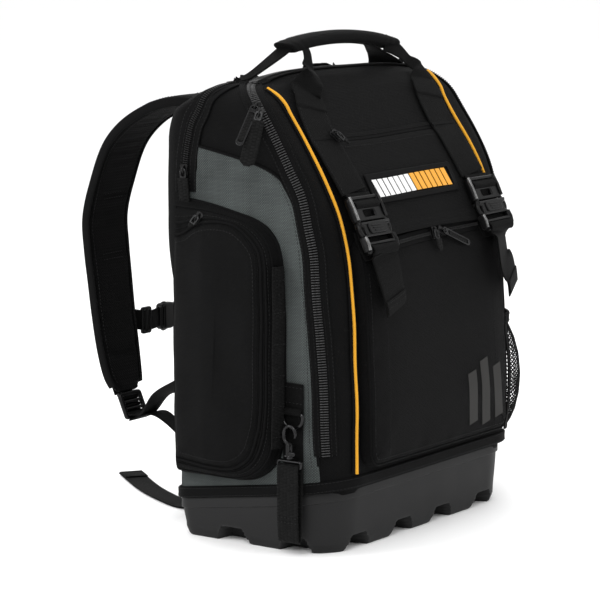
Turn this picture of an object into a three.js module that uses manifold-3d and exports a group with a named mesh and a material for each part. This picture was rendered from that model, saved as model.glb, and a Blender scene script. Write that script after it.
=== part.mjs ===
// Tool backpack: a cloth body with a leaning front and a domed top on a moulded rubber base.
// Millimetres, +X to the right as seen from the front, -Y the front, +Z up.
// The origin is on the ground under the middle of the body.
import * as THREE from "three";
import { mergeVertices } from "three/addons/utils/BufferGeometryUtils.js";
import Module from "manifold-3d";

const wasm = await Module();
wasm.setup();

// Body
const BODY_WIDTH = 364;
const BODY_DEPTH = 200;
const BODY_HEIGHT = 477;
const TOP_CROWN = 9;
const SIDE_ROUND = 30;
const BACK_ROUND = 60;
const FRONT_CORNER = 44;
const BACK_CORNER = 20;
const BODY_WALL = 2.5;
const CLEARANCE = 0.3;

// Rubber base
const RIM_FRONT = 68;
const RIM_BACK = 39;
const BASE_WALL = 4;
const BASE_FLOOR = 6;
const BASE_LEDGE_DROP = 11;
const BASE_LEDGE = 2.2;
const BASE_TAPER = 5;
const FOOT_CHAMFER = 12;
const FOOT_CHAMFER_IN = 7;
const NOTCH_HEIGHT = 15;
const NOTCH_WIDTH = 30;
const NOTCH_DEPTH = 20;
const TRIM_HEIGHT = 12;
const TRIM_THICKNESS = 2;

// Cloth panels, zips and piping
const CLOTH = 1.2;
const PIPING_RADIUS = 2.2;
const PIPING_SPACING = 284;
const ZIP_TAPE = 20;
const ZIP_TAPE_THICKNESS = 1.2;
const ZIP_TEETH = 6;
const ZIP_TEETH_THICKNESS = 2.8;
const ZIP_LIFT = 1.3;
const BACK_ZIP_TAPE = 16;
const SLIDER_WIDTH = 9;
const SLIDER_LENGTH = 13;
const SLIDER_THICKNESS = 4;
const PULL_THICKNESS = 2;

// Front
const FLAP_TOP = 0.8742 * BODY_HEIGHT;
const FLAP_BOTTOM = 0.6667 * BODY_HEIGHT;
const FLAP_WIDTH = 268;
const FLAP_THICKNESS = 3.5;
const FLAP_RISE = 13;
const FRONT_POCKET_WIDTH = 266;
const FRONT_POCKET_BOTTOM = 89;
const FRONT_POCKET_DEPTH = 15;
const FRONT_POCKET_BULGE = 4;
const FRONT_POCKET_ROUND = 14;
const POCKET_WALL = 2.2;
const PATCH_WIDTH = 156;
const PATCH_HEIGHT = 28;
const PATCH_THICKNESS = 2.4;
const PATCH_BOTTOM = 0.7464 * BODY_HEIGHT;
const WEBBING_WIDTH = 46;
const WEBBING_CENTRE = 113;
const WEBBING_THICKNESS = 1.8;
const BUCKLE_WIDTH = 54;
const BUCKLE_LENGTH = 58;
const BUCKLE_THICKNESS = 10;
const BUCKLE_TOP = 0.763 * BODY_HEIGHT;
const TAIL_LENGTH = 64;

// Left pocket
const SIDE_POCKET_FRONT = -42;
const SIDE_POCKET_BACK = 86;
const SIDE_POCKET_BOTTOM = 70;
const SIDE_POCKET_TOP = 0.7421 * BODY_HEIGHT;
const SIDE_POCKET_SLOPE = 15;
const SIDE_POCKET_ROUND = 36;
const SIDE_POCKET_DEPTH = 22;
const SIDE_POCKET_BULGE = 5;
const DAISY_WIDTH = 12;

// Net pocket
const NET_START = 147;
const NET_END = 318;
const NET_BOTTOM = 86;
const NET_TOP = 200;
const NET_BULGE = 19;
const NET_THICKNESS = 1.6;
const NET_COLUMNS = 8;
const NET_ROWS = 6;
const HEM_HEIGHT = 12;
const HEM_SPLIT = 0.45;

// Carry handle
const HANDLE_HEIGHT = 1.088 * BODY_HEIGHT;
const HANDLE_SAG = 11;
const HANDLE_Y = 15;
const GRIP_LENGTH = 200;
const GRIP_THICKNESS = 14;
const GRIP_WIDTH = 26;
const LEG_WIDTH = 14;
const REAR_LEG_X = 148;
const REAR_LEG_Y = 39;
const REAR_LEG_WIDTH = 20;
const FRONT_LEG_X = 104;
const FRONT_LEG_WIDTH = 42;
const FRONT_LEG_JOIN = 66;
const LEG_THICKNESS = 2.4;

// Back and shoulder straps
const BACK_PAD_THICKNESS = 9;
const BACK_PAD_WIDTH = 118;
const BACK_PAD_SPACE = 26;
const LUMBAR_HEIGHT = 76;
const STRAP_CENTRE = 100;
const STRAP_WIDTH = 76;
const STRAP_THICKNESS = 13;
const STRAP_REACH = 158;
const STRAP_TOP = 0.9686 * BODY_HEIGHT;
const STRAP_BOTTOM = 124;
const STRAP_WEBBING = 28;
const STRAP_WEBBING_THICKNESS = 1.8;
const STERNUM_HEIGHT = 0.4319 * BODY_HEIGHT;
const STERNUM_WEBBING = 22;
const STERNUM_BUCKLE_WIDTH = 42;
const LOCK_LENGTH = 30;

// Ring and snap hook on the left
const RING_Y = -58;
const RING_Z = 150;
const RING_WIDTH = 25;
const RING_WIRE = 1.9;
const TAB_LENGTH = 28;
const HOOK_LENGTH = 46;
const HOOK_THICKNESS = 5;
const LOOP_LENGTH = 76;
const LOOP_WIDTH = 28;

// The front's outline from the side. height is a share of BODY_HEIGHT, front of BODY_DEPTH
// from the middle, and corner of FRONT_CORNER.
const FRONT_PROFILE = [
  { height: 0.0, front: -0.5, corner: 1.0 },
  { height: 0.084, front: -0.5175, corner: 1.0 },
  { height: 0.157, front: -0.5225, corner: 1.0 },
  { height: 0.273, front: -0.517, corner: 1.0 },
  { height: 0.377, front: -0.5085, corner: 1.0 },
  { height: 0.482, front: -0.493, corner: 1.0 },
  { height: 0.587, front: -0.4785, corner: 0.86 },
  { height: 0.671, front: -0.4415, corner: 0.72 },
  { height: 0.734, front: -0.402, corner: 0.64 },
  { height: 0.797, front: -0.3425, corner: 0.58 },
  { height: 0.86, front: -0.26, corner: 0.55 },
  { height: 0.918, front: -0.1645, corner: 0.55 },
  { height: 0.96, front: -0.088, corner: 0.55 },
  { height: 0.979, front: -0.038, corner: 0.55 },
  { height: 0.992, front: 0.01, corner: 0.55 },
  { height: 1.0, front: 0.08, corner: 0.55 },
];

// The grey panel's front edge. height is a share of BODY_HEIGHT, y of BODY_DEPTH.
const PANEL_EDGE = [
  { height: 0.16, y: -0.4 },
  { height: 0.386, y: -0.375 },
  { height: 0.53, y: -0.355 },
  { height: 0.64, y: -0.328 },
  { height: 0.7, y: -0.31 },
  { height: 0.742, y: -0.285 },
  { height: 0.77, y: -0.255 },
  { height: 0.79, y: -0.225 },
  { height: 0.81, y: -0.19 },
  { height: 0.826, y: -0.13 },
  { height: 0.84, y: -0.035 },
  { height: 0.858, y: 0.16 },
  { height: 0.871, y: 0.335 },
];

// The main zip's line up one side and over to the middle of the top: shares of half the
// body's width, of its depth and of its height.
const MAIN_ZIP_LINE = [
  { x: 0.95, y: -0.445, height: 0.222 },
  { x: 0.96, y: -0.438, height: 0.31 },
  { x: 0.96, y: -0.432, height: 0.413 },
  { x: 0.97, y: -0.412, height: 0.53 },
  { x: 0.98, y: -0.39, height: 0.64 },
  { x: 0.98, y: -0.36, height: 0.7 },
  { x: 0.98, y: -0.32, height: 0.77 },
  { x: 0.99, y: -0.245, height: 0.83 },
  { x: 0.99, y: -0.13, height: 0.91 },
  { x: 0.97, y: -0.03, height: 0.965 },
  { x: 0.91, y: 0.03, height: 0.99 },
  { x: 0.82, y: 0.06, height: 1.005 },
  { x: 0.6, y: 0.07, height: 1.01 },
  { x: 0.3, y: 0.07, height: 1.016 },
  { x: 0.0, y: 0.07, height: 1.018 },
];

// The main zip's two sliders on the left. height is a share of BODY_HEIGHT, width and length
// are the pull's, and lean is its turn in radians.
const MAIN_SLIDERS = [
  { name: "main_pull_rear", height: 0.95, width: 8, length: 46, lean: -0.35 },
  { name: "main_pull_front", height: 0.912, width: 14, length: 58, lean: -0.2 },
];
const BACK_SLIDER_HEIGHT = 0.815;

// The rear compartment's zip, in the same shares.
const BACK_ZIP_LINE = [
  { x: 1.0, y: 0.405, height: 0.768 },
  { x: 1.0, y: 0.405, height: 0.81 },
  { x: 1.0, y: 0.395, height: 0.86 },
  { x: 1.0, y: 0.36, height: 0.915 },
  { x: 0.99, y: 0.31, height: 0.948 },
  { x: 0.95, y: 0.285, height: 0.972 },
  { x: 0.86, y: 0.295, height: 0.985 },
  { x: 0.5, y: 0.3, height: 1.0 },
  { x: 0.0, y: 0.3, height: 1.008 },
];

// How far the net stands off the body at each height of the net, as a share of NET_BULGE.
const NET_SHAPE = [
  { height: 0.0, bulge: 0.08 },
  { height: 0.12, bulge: 0.6 },
  { height: 0.3, bulge: 0.95 },
  { height: 0.5, bulge: 1.0 },
  { height: 0.75, bulge: 0.88 },
  { height: 1.0, bulge: 0.6 },
];

// The shoulder strap's centre line from the side. out is a share of STRAP_REACH behind the
// back, height a share of the way from STRAP_BOTTOM to STRAP_TOP, width of STRAP_WIDTH.
const STRAP_LINE = [
  { out: -0.045, height: 0.972, width: 0.86 },
  { out: 0.04, height: 0.99, width: 0.9 },
  { out: 0.22, height: 0.993, width: 0.96 },
  { out: 0.44, height: 0.955, width: 1.0 },
  { out: 0.63, height: 0.893, width: 1.0 },
  { out: 0.78, height: 0.81, width: 0.96 },
  { out: 0.91, height: 0.69, width: 0.94 },
  { out: 0.99, height: 0.58, width: 0.92 },
  { out: 1.0, height: 0.48, width: 0.9 },
  { out: 0.975, height: 0.37, width: 0.88 },
  { out: 0.945, height: 0.26, width: 0.85 },
  { out: 0.905, height: 0.145, width: 0.82 },
  { out: 0.84, height: 0.055, width: 0.76 },
  { out: 0.76, height: 0.0, width: 0.58 },
];

// Points of the two free strap ends on the ground, in millimetres, chosen by hand.
const LEFT_TAIL_ROUTE = [
  { x: -100, y: 182, z: 98 },
  { x: -97, y: 163, z: 78 },
  { x: -90, y: 150, z: 46 },
  { x: -82, y: 152, z: 14 },
  { x: -72, y: 170, z: 2.2 },
  { x: -52, y: 204, z: 2.2 },
  { x: -12, y: 266, z: 2.2 },
  { x: 42, y: 336, z: 2.2 },
];
const RIGHT_TAIL_ROUTE = [
  { x: 100, y: 178, z: 90 },
  { x: 100, y: 160, z: 70 },
  { x: 100, y: 150, z: 42 },
  { x: 102, y: 156, z: 14 },
  { x: 105, y: 180, z: 2.2 },
  { x: 107, y: 214, z: 2.2 },
  { x: 111, y: 256, z: 2.2 },
];

const FABRIC = new THREE.MeshStandardMaterial({ color: 0x1d1d1e, roughness: 0.85, metalness: 0 });
const PANEL_CLOTH = new THREE.MeshStandardMaterial({ color: 0x5d6366, roughness: 0.8, metalness: 0 });
const WEBBING = new THREE.MeshStandardMaterial({ color: 0x18181a, roughness: 0.8, metalness: 0 });
const RUBBER = new THREE.MeshStandardMaterial({ color: 0x303031, roughness: 0.6, metalness: 0 });
const AMBER = new THREE.MeshStandardMaterial({ color: 0xe39b21, roughness: 0.6, metalness: 0 });
const NYLON = new THREE.MeshStandardMaterial({ color: 0x141415, roughness: 0.4, metalness: 0 });
const STEEL = new THREE.MeshStandardMaterial({ color: 0x2b2b2d, roughness: 0.35, metalness: 0.9 });
const PRINT = new THREE.MeshStandardMaterial({ color: 0xe8e8e6, roughness: 0.6, metalness: 0 });
const NETTING = new THREE.MeshStandardMaterial({ color: 0x161617, roughness: 0.9, metalness: 0 });

const backpack = new THREE.Group();
const point = (x, y, z) => new THREE.Vector3(x, y, z);
const lerp = THREE.MathUtils.lerp;
const clamp = THREE.MathUtils.clamp;
const steps = (count) => Array.from({ length: count + 1 }, (_, i) => i / count);

function place(name, geometry, material) {
  const mesh = new THREE.Mesh(geometry, material);
  mesh.name = name;
  backpack.add(mesh);
  return mesh;
}

// The value of one column of a table at a place along another, on a smooth curve.
function lookUp(rows, along, column, at) {
  const last = rows.length - 1;
  const rising = rows[last][along] > rows[0][along];
  const list = rising ? rows : [...rows].reverse();
  const t = clamp(at, list[0][along], list[last][along]);
  let i = 0;
  while (i < last - 1 && t > list[i + 1][along]) i++;
  const [a, b] = [list[i], list[i + 1]];
  const before = list[Math.max(i - 1, 0)];
  const after = list[Math.min(i + 2, last)];
  const width = b[along] - a[along];
  const slopeA = ((b[column] - before[column]) / (b[along] - before[along])) * width;
  const slopeB = ((after[column] - a[column]) / (after[along] - a[along])) * width;
  const u = (t - a[along]) / width;
  const rise = b[column] - a[column];
  return a[column] + u * (slopeA + u * (3 * rise - 2 * slopeA - slopeB + u * (slopeA + slopeB - 2 * rise)));
}

// The body's level section at a height: half width, front, back and corner radii.
function section(z) {
  const height = clamp(z, 0, BODY_HEIGHT);
  const share = height / BODY_HEIGHT;
  const front = BODY_DEPTH * lookUp(FRONT_PROFILE, "height", "front", share);
  const aboveBack = Math.max(0, height - BODY_HEIGHT + BACK_ROUND);
  const back = BODY_DEPTH / 2 - BACK_ROUND + Math.sqrt(Math.max(0, BACK_ROUND ** 2 - aboveBack ** 2));
  const aboveSide = Math.max(0, height - BODY_HEIGHT + SIDE_ROUND);
  const half = BODY_WIDTH / 2 - SIDE_ROUND + Math.sqrt(Math.max(0, SIDE_ROUND ** 2 - aboveSide ** 2));
  const depth = back - front;
  const frontCorner = Math.min(FRONT_CORNER * lookUp(FRONT_PROFILE, "height", "corner", share), 0.55 * depth);
  const backCorner = Math.min(BACK_CORNER, 0.3 * depth);
  return { half, front, back, frontCorner, backCorner };
}

// How much higher the soft top stands at this place than its shoulders.
function crown(x, z) {
  const across = 1 - Math.min(Math.abs(x) / (BODY_WIDTH * 0.41), 1) ** 2;
  return TOP_CROWN * across * Math.max(z / BODY_HEIGHT, 0) ** 8;
}

// Distance outside the body's surface, less than 0 inside.
function bodyField(p) {
  const z = p.z - crown(p.x, Math.min(p.z, BODY_HEIGHT));
  const s = section(z);
  const isFront = p.y < (s.front + s.back) / 2;
  const radius = isFront ? s.frontCorner : s.backCorner;
  const qx = Math.abs(p.x) - (s.half - radius);
  const qy = isFront ? s.front + radius - p.y : p.y - (s.back - radius);
  const outside = Math.hypot(Math.max(qx, 0), Math.max(qy, 0));
  return Math.max(Math.min(Math.max(qx, qy), 0) + outside - radius, z - BODY_HEIGHT);
}

function bodyNormal(p) {
  const d = 0.5;
  const at = (x, y, z) => bodyField(point(p.x + x, p.y + y, p.z + z));
  const slope = (x, y, z) => at(x, y, z) - at(-x, -y, -z);
  return point(slope(d, 0, 0), slope(0, d, 0), slope(0, 0, d)).divideScalar(2 * d);
}

// The nearest place on the body's surface, lifted off it.
function onBody(p, lift = 0) {
  const q = p.clone();
  for (let i = 0; i < 12; i++) {
    const slope = bodyNormal(q);
    q.addScaledVector(slope, -(bodyField(q) - lift) / Math.max(slope.lengthSq(), 0.2));
  }
  return q;
}

// The body's front surface straight ahead of (x, z), and its side surface level with (y, z).
function frontY(x, z) {
  const s = section(z - crown(x, z));
  const past = Math.max(Math.abs(x) - (s.half - s.frontCorner), 0);
  return s.front + s.frontCorner - Math.sqrt(Math.max(s.frontCorner ** 2 - past ** 2, 0));
}
function sideX(y, z) {
  const s = section(z);
  const isFront = y < (s.front + s.back) / 2;
  const radius = isFront ? s.frontCorner : s.backCorner;
  const past = Math.max(isFront ? s.front + radius - y : y - (s.back - radius), 0);
  return s.half - radius + Math.sqrt(Math.max(radius ** 2 - past ** 2, 0));
}

// A place on the level section at a height, by the distance round from the middle of the
// front: to the right for a positive distance, to the left for a negative one.
function roundBody(z, distance, lift = 0) {
  const s = section(z);
  const sign = Math.sign(distance) || 1;
  let left = Math.abs(distance);
  const legs = [
    { length: s.half - s.frontCorner, at: (t) => [t, s.front, 0, -1] },
    { length: (s.frontCorner * Math.PI) / 2, at: (t) => turn(s.half, s.front, s.frontCorner, t, 1) },
    {
      length: s.back - s.backCorner - s.front - s.frontCorner,
      at: (t) => [s.half, s.front + s.frontCorner + t, 1, 0],
    },
    { length: (s.backCorner * Math.PI) / 2, at: (t) => turn(s.half, s.back, s.backCorner, t, -1) },
    { length: s.half - s.backCorner, at: (t) => [s.half - s.backCorner - t, s.back, 0, 1] },
  ];
  for (const [i, leg] of legs.entries()) {
    if (left <= leg.length || i === legs.length - 1) {
      const [x, y, nx, ny] = leg.at(Math.min(left, leg.length));
      return point(sign * (x + nx * lift), y + ny * lift, z + crown(x, z));
    }
    left -= leg.length;
  }
  return null;
}
function turn(half, edge, radius, length, frontward) {
  const angle = length / radius;
  const [nx, ny] = frontward > 0 ? [Math.sin(angle), -Math.cos(angle)] : [Math.cos(angle), Math.sin(angle)];
  return [half - radius + radius * nx, edge + frontward * radius + radius * ny, nx, ny];
}
function girth(z) {
  const s = section(z);
  const corners = ((s.frontCorner + s.backCorner) * Math.PI) / 2;
  return 2 * s.half - 2 * s.frontCorner - 2 * s.backCorner + s.back - s.front + corners;
}

// Closed body from points and triangles, turned the right way out.
function closed(points, triangles) {
  let volume = 0;
  for (const [a, b, c] of triangles) {
    volume += points[a].dot(points[b].clone().cross(points[c]));
  }
  const index = volume < 0 ? triangles.map(([a, b, c]) => [a, c, b]) : triangles;
  const geometry = new THREE.BufferGeometry().setFromPoints(points);
  geometry.setIndex(index.flat());
  return geometry;
}

// Slab between an outer and an inner grid of points. A wrapped slab is a closed hoop.
function slab(outer, inner, wrap = false) {
  const rows = outer.length;
  const columns = outer[0].length;
  const count = rows * columns;
  const points = [...outer.flat(), ...inner.flat()];
  const triangles = [];
  const at = (i, j, layer) => layer * count + (i % rows) * columns + j;
  const quad = (a, b, c, d) => triangles.push([a, b, c], [a, c, d]);
  const lastRow = wrap ? rows : rows - 1;
  for (let i = 0; i < lastRow; i++) {
    for (let j = 0; j < columns - 1; j++) {
      quad(at(i, j, 0), at(i + 1, j, 0), at(i + 1, j + 1, 0), at(i, j + 1, 0));
      quad(at(i, j, 1), at(i, j + 1, 1), at(i + 1, j + 1, 1), at(i + 1, j, 1));
    }
    quad(at(i, 0, 1), at(i + 1, 0, 1), at(i + 1, 0, 0), at(i, 0, 0));
    quad(at(i, columns - 1, 0), at(i + 1, columns - 1, 0), at(i + 1, columns - 1, 1), at(i, columns - 1, 1));
  }
  if (!wrap) {
    for (let j = 0; j < columns - 1; j++) {
      quad(at(0, j, 0), at(0, j + 1, 0), at(0, j + 1, 1), at(0, j, 1));
      quad(at(rows - 1, j, 1), at(rows - 1, j + 1, 1), at(rows - 1, j + 1, 0), at(rows - 1, j, 0));
    }
  }
  return closed(points, triangles);
}

// Closed body through a stack of rings of equal count, with a fan at each end.
function stack(rings, startTip, endTip) {
  const count = rings[0].length;
  const points = [...rings.flat()];
  const triangles = [];
  for (let i = 0; i < rings.length - 1; i++) {
    for (let j = 0; j < count; j++) {
      const [a, b] = [i * count + j, i * count + ((j + 1) % count)];
      triangles.push([a, b, b + count], [a, b + count, a + count]);
    }
  }
  const middle = (ring) => ring.reduce((sum, p) => sum.add(p), point(0, 0, 0)).divideScalar(ring.length);
  const first = points.push(startTip || middle(rings[0])) - 1;
  const last = points.push(endTip || middle(rings.at(-1))) - 1;
  const top = (rings.length - 1) * count;
  for (let j = 0; j < count; j++) {
    triangles.push([first, (j + 1) % count, j]);
    triangles.push([last, top + j, top + ((j + 1) % count)]);
  }
  return closed(points, triangles);
}

function toManifold(geometry) {
  const bare = geometry.clone();
  for (const name of Object.keys(bare.attributes)) {
    if (name !== "position") bare.deleteAttribute(name);
  }
  const merged = mergeVertices(bare, 1e-4);
  return new wasm.Manifold(
    new wasm.Mesh({
      numProp: 3,
      vertProperties: new Float32Array(merged.attributes.position.array),
      triVerts: new Uint32Array(merged.index.array),
    }),
  );
}
function toGeometry(manifold) {
  const mesh = manifold.getMesh();
  const geometry = new THREE.BufferGeometry();
  geometry.setAttribute("position", new THREE.BufferAttribute(Float32Array.from(mesh.vertProperties), 3));
  geometry.setIndex(Array.from(mesh.triVerts));
  return geometry;
}
function cut(geometry, ...tools) {
  const body = tools.reduce((left, tool) => left.subtract(toManifold(tool)), toManifold(geometry));
  return toGeometry(body);
}
function join(...pieces) {
  const body = pieces.slice(1).reduce((sum, piece) => sum.add(toManifold(piece)), toManifold(pieces[0]));
  return toGeometry(body);
}

// Strip along a route: each place has its point, the direction across and the direction up.
function strip(route, width, thickness, lift = 0) {
  const widthAt = typeof width === "function" ? width : () => width;
  const edge = (height) =>
    route.map((r, i) =>
      [-0.5, 0.5].map((s) =>
        r.at
          .clone()
          .addScaledVector(r.across, s * widthAt(i / (route.length - 1)))
          .addScaledVector(r.up, height),
      ),
    );
  return slab(edge(lift + thickness), edge(lift));
}

// Tube of a few sides along a smooth path.
function tube(points, radius, pathSteps, sides = 6) {
  const outline = new THREE.Shape(
    steps(sides)
      .slice(0, -1)
      .map((t) => new THREE.Vector2(radius * Math.cos(2 * Math.PI * t), radius * Math.sin(2 * Math.PI * t))),
  );
  const path = new THREE.CatmullRomCurve3(points);
  return new THREE.ExtrudeGeometry(outline, { steps: pathSteps, extrudePath: path, bevelEnabled: false });
}

// Plate with round corners, its middle at the origin, lying in the XY plane.
function plate(width, length, thickness, radius, holes = []) {
  const outline = new THREE.Shape();
  roundedPath(outline, 0, 0, width, length, radius);
  for (const hole of holes) {
    const gap = new THREE.Path();
    roundedPath(gap, hole.x, hole.y, hole.width, hole.length, hole.round);
    outline.holes.push(gap);
  }
  return new THREE.ExtrudeGeometry(outline, { depth: thickness, bevelEnabled: false, curveSegments: 1 });
}
function roundedPath(path, x, y, width, length, radius) {
  const [w, l] = [width / 2, length / 2];
  path.moveTo(x - w + radius, y - l);
  path.lineTo(x + w - radius, y - l);
  path.absarc(x + w - radius, y - l + radius, radius, -Math.PI / 2, 0);
  path.lineTo(x + w, y + l - radius);
  path.absarc(x + w - radius, y + l - radius, radius, 0, Math.PI / 2);
  path.lineTo(x - w + radius, y + l);
  path.absarc(x - w + radius, y + l - radius, radius, Math.PI / 2, Math.PI);
  path.lineTo(x - w, y - l + radius);
  path.absarc(x - w + radius, y - l + radius, radius, Math.PI, 1.5 * Math.PI);
}

// Moves a geometry from its own axes to an origin, an x direction and a z direction.
function setAt(geometry, origin, xAxis, zAxis) {
  const z = zAxis.clone().normalize();
  const y = z.clone().cross(xAxis).normalize();
  const x = y.clone().cross(z);
  const matrix = new THREE.Matrix4().makeBasis(x, y, z).setPosition(origin);
  return geometry.clone().applyMatrix4(matrix);
}

// Route along the body's surface through a line's places, with a row wherever the surface
// has turned by the bend, or the line has gone the reach, since the row before.
function bodyRoute(places, bend = 0.2, reach = 32) {
  const curve = new THREE.CatmullRomCurve3(places.map((p) => onBody(p)));
  const fine = steps(240).map((t) => {
    const at = onBody(curve.getPoint(t));
    const up = bodyNormal(at).normalize();
    const along = curve.getTangent(t);
    return { at, up, along, across: along.clone().cross(up).normalize() };
  });
  const route = [fine[0]];
  for (const place of fine.slice(1, -1)) {
    const last = route.at(-1);
    const turned = Math.max(last.up.angleTo(place.up), last.along.angleTo(place.along));
    if (turned > bend || last.at.distanceTo(place.at) > reach) route.push(place);
  }
  return [...route, fine.at(-1)];
}
// Places of a table's line up the left side, over the top and down the right side as far as
// a height.
function lineOver(rows, rightEnd = 0) {
  const full = (row, side) =>
    point((side * row.x * BODY_WIDTH) / 2, row.y * BODY_DEPTH, row.height * BODY_HEIGHT);
  const left = rows.map((row) => full(row, -1));
  const right = rows.slice(0, -1).reverse().filter((row) => row.height > rightEnd);
  return [...left, ...right.map((row) => full(row, 1))];
}

// Zip: a tape that follows the body, with a raised row of teeth down its middle.
function zip(route, width) {
  const half = width / 2;
  const teeth = ZIP_TEETH / 2;
  const profile = [
    [-half, 0],
    [-half, ZIP_TAPE_THICKNESS],
    [-teeth - 0.6, ZIP_TAPE_THICKNESS],
    [-teeth, ZIP_TEETH_THICKNESS],
    [teeth, ZIP_TEETH_THICKNESS],
    [teeth + 0.6, ZIP_TAPE_THICKNESS],
    [half, ZIP_TAPE_THICKNESS],
    [half, 0],
    [0, 0],
  ];
  const rings = route.map((r) =>
    profile.map(([across, up]) => onBody(r.at.clone().addScaledVector(r.across, across), ZIP_LIFT + up)),
  );
  return stack(rings);
}

// Slider with a pull that hangs from it: the origin on the teeth, z off the cloth, y up.
function slider(pullWidth, pullLength) {
  const body = plate(SLIDER_WIDTH, SLIDER_LENGTH, SLIDER_THICKNESS, 2.5);
  const pull = plate(pullWidth, pullLength, PULL_THICKNESS, pullWidth / 2 - 0.3);
  pull.translate(0, -pullLength / 2 + 2, SLIDER_THICKNESS - 0.6);
  return join(body, pull);
}
// A slider on a place of the body, lifted off what lies there, its pull hanging downwards
// and turned about the normal by a lean.
function sliderOn(place, lift, pullWidth, pullLength, lean = 0) {
  const at = onBody(place);
  const normal = bodyNormal(at).normalize();
  const across = point(0, 0, 1).cross(normal).normalize().applyAxisAngle(normal, lean);
  return setAt(slider(pullWidth, pullLength), at.addScaledVector(normal, lift), across, normal);
}

const rimHeight = (y) => lerp(RIM_FRONT, RIM_BACK, y / BODY_DEPTH + 0.5);

// Outline of a level section as points, evenly shared over its straights and corners.
function outline(z, lift, cornerSteps) {
  const s = section(z);
  const front = s.half - s.frontCorner;
  const frontArc = (s.frontCorner * Math.PI) / 2;
  const side = s.back - s.backCorner - s.front - s.frontCorner;
  const backArc = (s.backCorner * Math.PI) / 2;
  const stops = [front / 3, (2 * front) / 3];
  for (const t of steps(cornerSteps)) stops.push(front + t * frontArc);
  stops.push(front + frontArc + side / 2);
  for (const t of steps(cornerSteps - 1)) stops.push(front + frontArc + side + t * backArc);
  const back = front + frontArc + side + backArc;
  stops.push(back + (s.half - s.backCorner) / 3, back + (2 * (s.half - s.backCorner)) / 3);
  const right = stops.map((d) => roundBody(z, d, lift));
  const left = stops.map((d) => roundBody(z, -d, lift)).reverse();
  return [roundBody(z, 0, lift), ...right, roundBody(z, girth(z), lift), ...left];
}

// A large box that keeps what lies above (or below) the sloping line of the rim.
function rimWedge(above, offset) {
  const reach = BODY_WIDTH;
  const far = above ? 2 * BODY_HEIGHT : -BODY_HEIGHT;
  const ring = (y) => {
    const z = rimHeight(y) + offset;
    return [point(-reach, y, z), point(reach, y, z), point(reach, y, far), point(-reach, y, far)];
  };
  return stack([ring(-BODY_DEPTH), ring(BODY_DEPTH)]);
}

function bodyShell() {
  const levels = [0.02, 0.157, 0.377, 0.46, 0.54, 0.64, 0.72, 0.8, 0.87, 0.92, 0.955, 0.978, 0.992, 1.0];
  const rings = (lift, list) => list.map((share) => outline(share * BODY_HEIGHT, lift, 4));
  const topMiddle = (drop) => {
    const s = section(BODY_HEIGHT);
    return point(0, (s.front + s.back) / 2, BODY_HEIGHT + TOP_CROWN - drop);
  };
  const outer = stack(rings(0, levels), null, topMiddle(0));
  const innerLevels = [0.0, 0.377, 0.587, 0.734, 0.86, 0.93, 0.97, 0.988];
  const inner = stack(rings(-BODY_WALL, innerLevels), null, topMiddle(3 * BODY_WALL));
  return cut(outer, inner, rimWedge(false, CLEARANCE));
}

// The tub's outline at a height, pulled in from the body's lowest section.
function baseRing(z, inset) {
  return outline(0, -inset, 4).map((p) => point(p.x, p.y, z));
}
function baseTub() {
  const rimTop = RIM_FRONT + 20;
  const ledge = (RIM_FRONT + RIM_BACK) / 2 - BASE_LEDGE_DROP;
  const slope = (ring, offset) => ring.map((p) => point(p.x, p.y, rimHeight(p.y) + offset));
  const outer = stack([
    baseRing(0, BASE_TAPER + FOOT_CHAMFER_IN),
    baseRing(FOOT_CHAMFER, BASE_TAPER),
    slope(baseRing(ledge, BASE_LEDGE), -BASE_LEDGE_DROP - 1),
    slope(baseRing(ledge, 0), -BASE_LEDGE_DROP),
    slope(baseRing(rimTop, 0), 0),
  ]);
  const shelf = NOTCH_HEIGHT + BASE_WALL;
  const well = BASE_TAPER + NOTCH_DEPTH + BASE_WALL;
  const inner = stack([
    baseRing(BASE_FLOOR, well),
    baseRing(shelf, well),
    baseRing(shelf + 0.5, BASE_TAPER + BASE_WALL),
    slope(baseRing(rimTop, BASE_WALL), BASE_LEDGE_DROP),
  ]);
  return cut(outer, inner, ...notches());
}

// Trapezoid gaps between the feet: two on each side and four along the front and the back.
function notches() {
  const reach = BASE_TAPER + NOTCH_DEPTH;
  const wedge = (length) => {
    const shape = new THREE.Shape();
    shape.moveTo(-NOTCH_WIDTH / 2 - 5, -1);
    shape.lineTo(NOTCH_WIDTH / 2 + 5, -1);
    shape.lineTo(NOTCH_WIDTH / 2 - 3, NOTCH_HEIGHT);
    shape.lineTo(-NOTCH_WIDTH / 2 + 3, NOTCH_HEIGHT);
    return new THREE.ExtrudeGeometry(shape, { depth: length, bevelEnabled: false });
  };
  const list = [];
  const up = point(0, 0, 1);
  const away = (origin, direction) => {
    const x = up.clone().cross(direction).normalize();
    const matrix = new THREE.Matrix4().makeBasis(x, up, direction).setPosition(origin);
    list.push(wedge(reach + 10).applyMatrix4(matrix));
  };
  for (const share of [-0.67, -0.21, 0.21, 0.67]) {
    const x = (share * BODY_WIDTH) / 2;
    away(point(x, -BODY_DEPTH / 2 + reach, 0), point(0, -1, 0));
    away(point(x, BODY_DEPTH / 2 - reach, 0), point(0, 1, 0));
  }
  for (const share of [-0.26, 0.14]) {
    const y = share * BODY_DEPTH;
    away(point(-BODY_WIDTH / 2 + reach, y, 0), point(-1, 0, 0));
    away(point(BODY_WIDTH / 2 - reach, y, 0), point(1, 0, 0));
  }
  return list;
}

function baseTrim() {
  const band = (lift) => outline((RIM_FRONT + RIM_BACK) / 2, lift, 4).map((p) => {
    const bottom = rimHeight(p.y) + CLEARANCE;
    return [point(p.x, p.y, bottom), point(p.x, p.y, bottom + TRIM_HEIGHT)];
  });
  const widest = 1.2;
  return slab(band(widest + TRIM_THICKNESS), band(widest), true);
}

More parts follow.
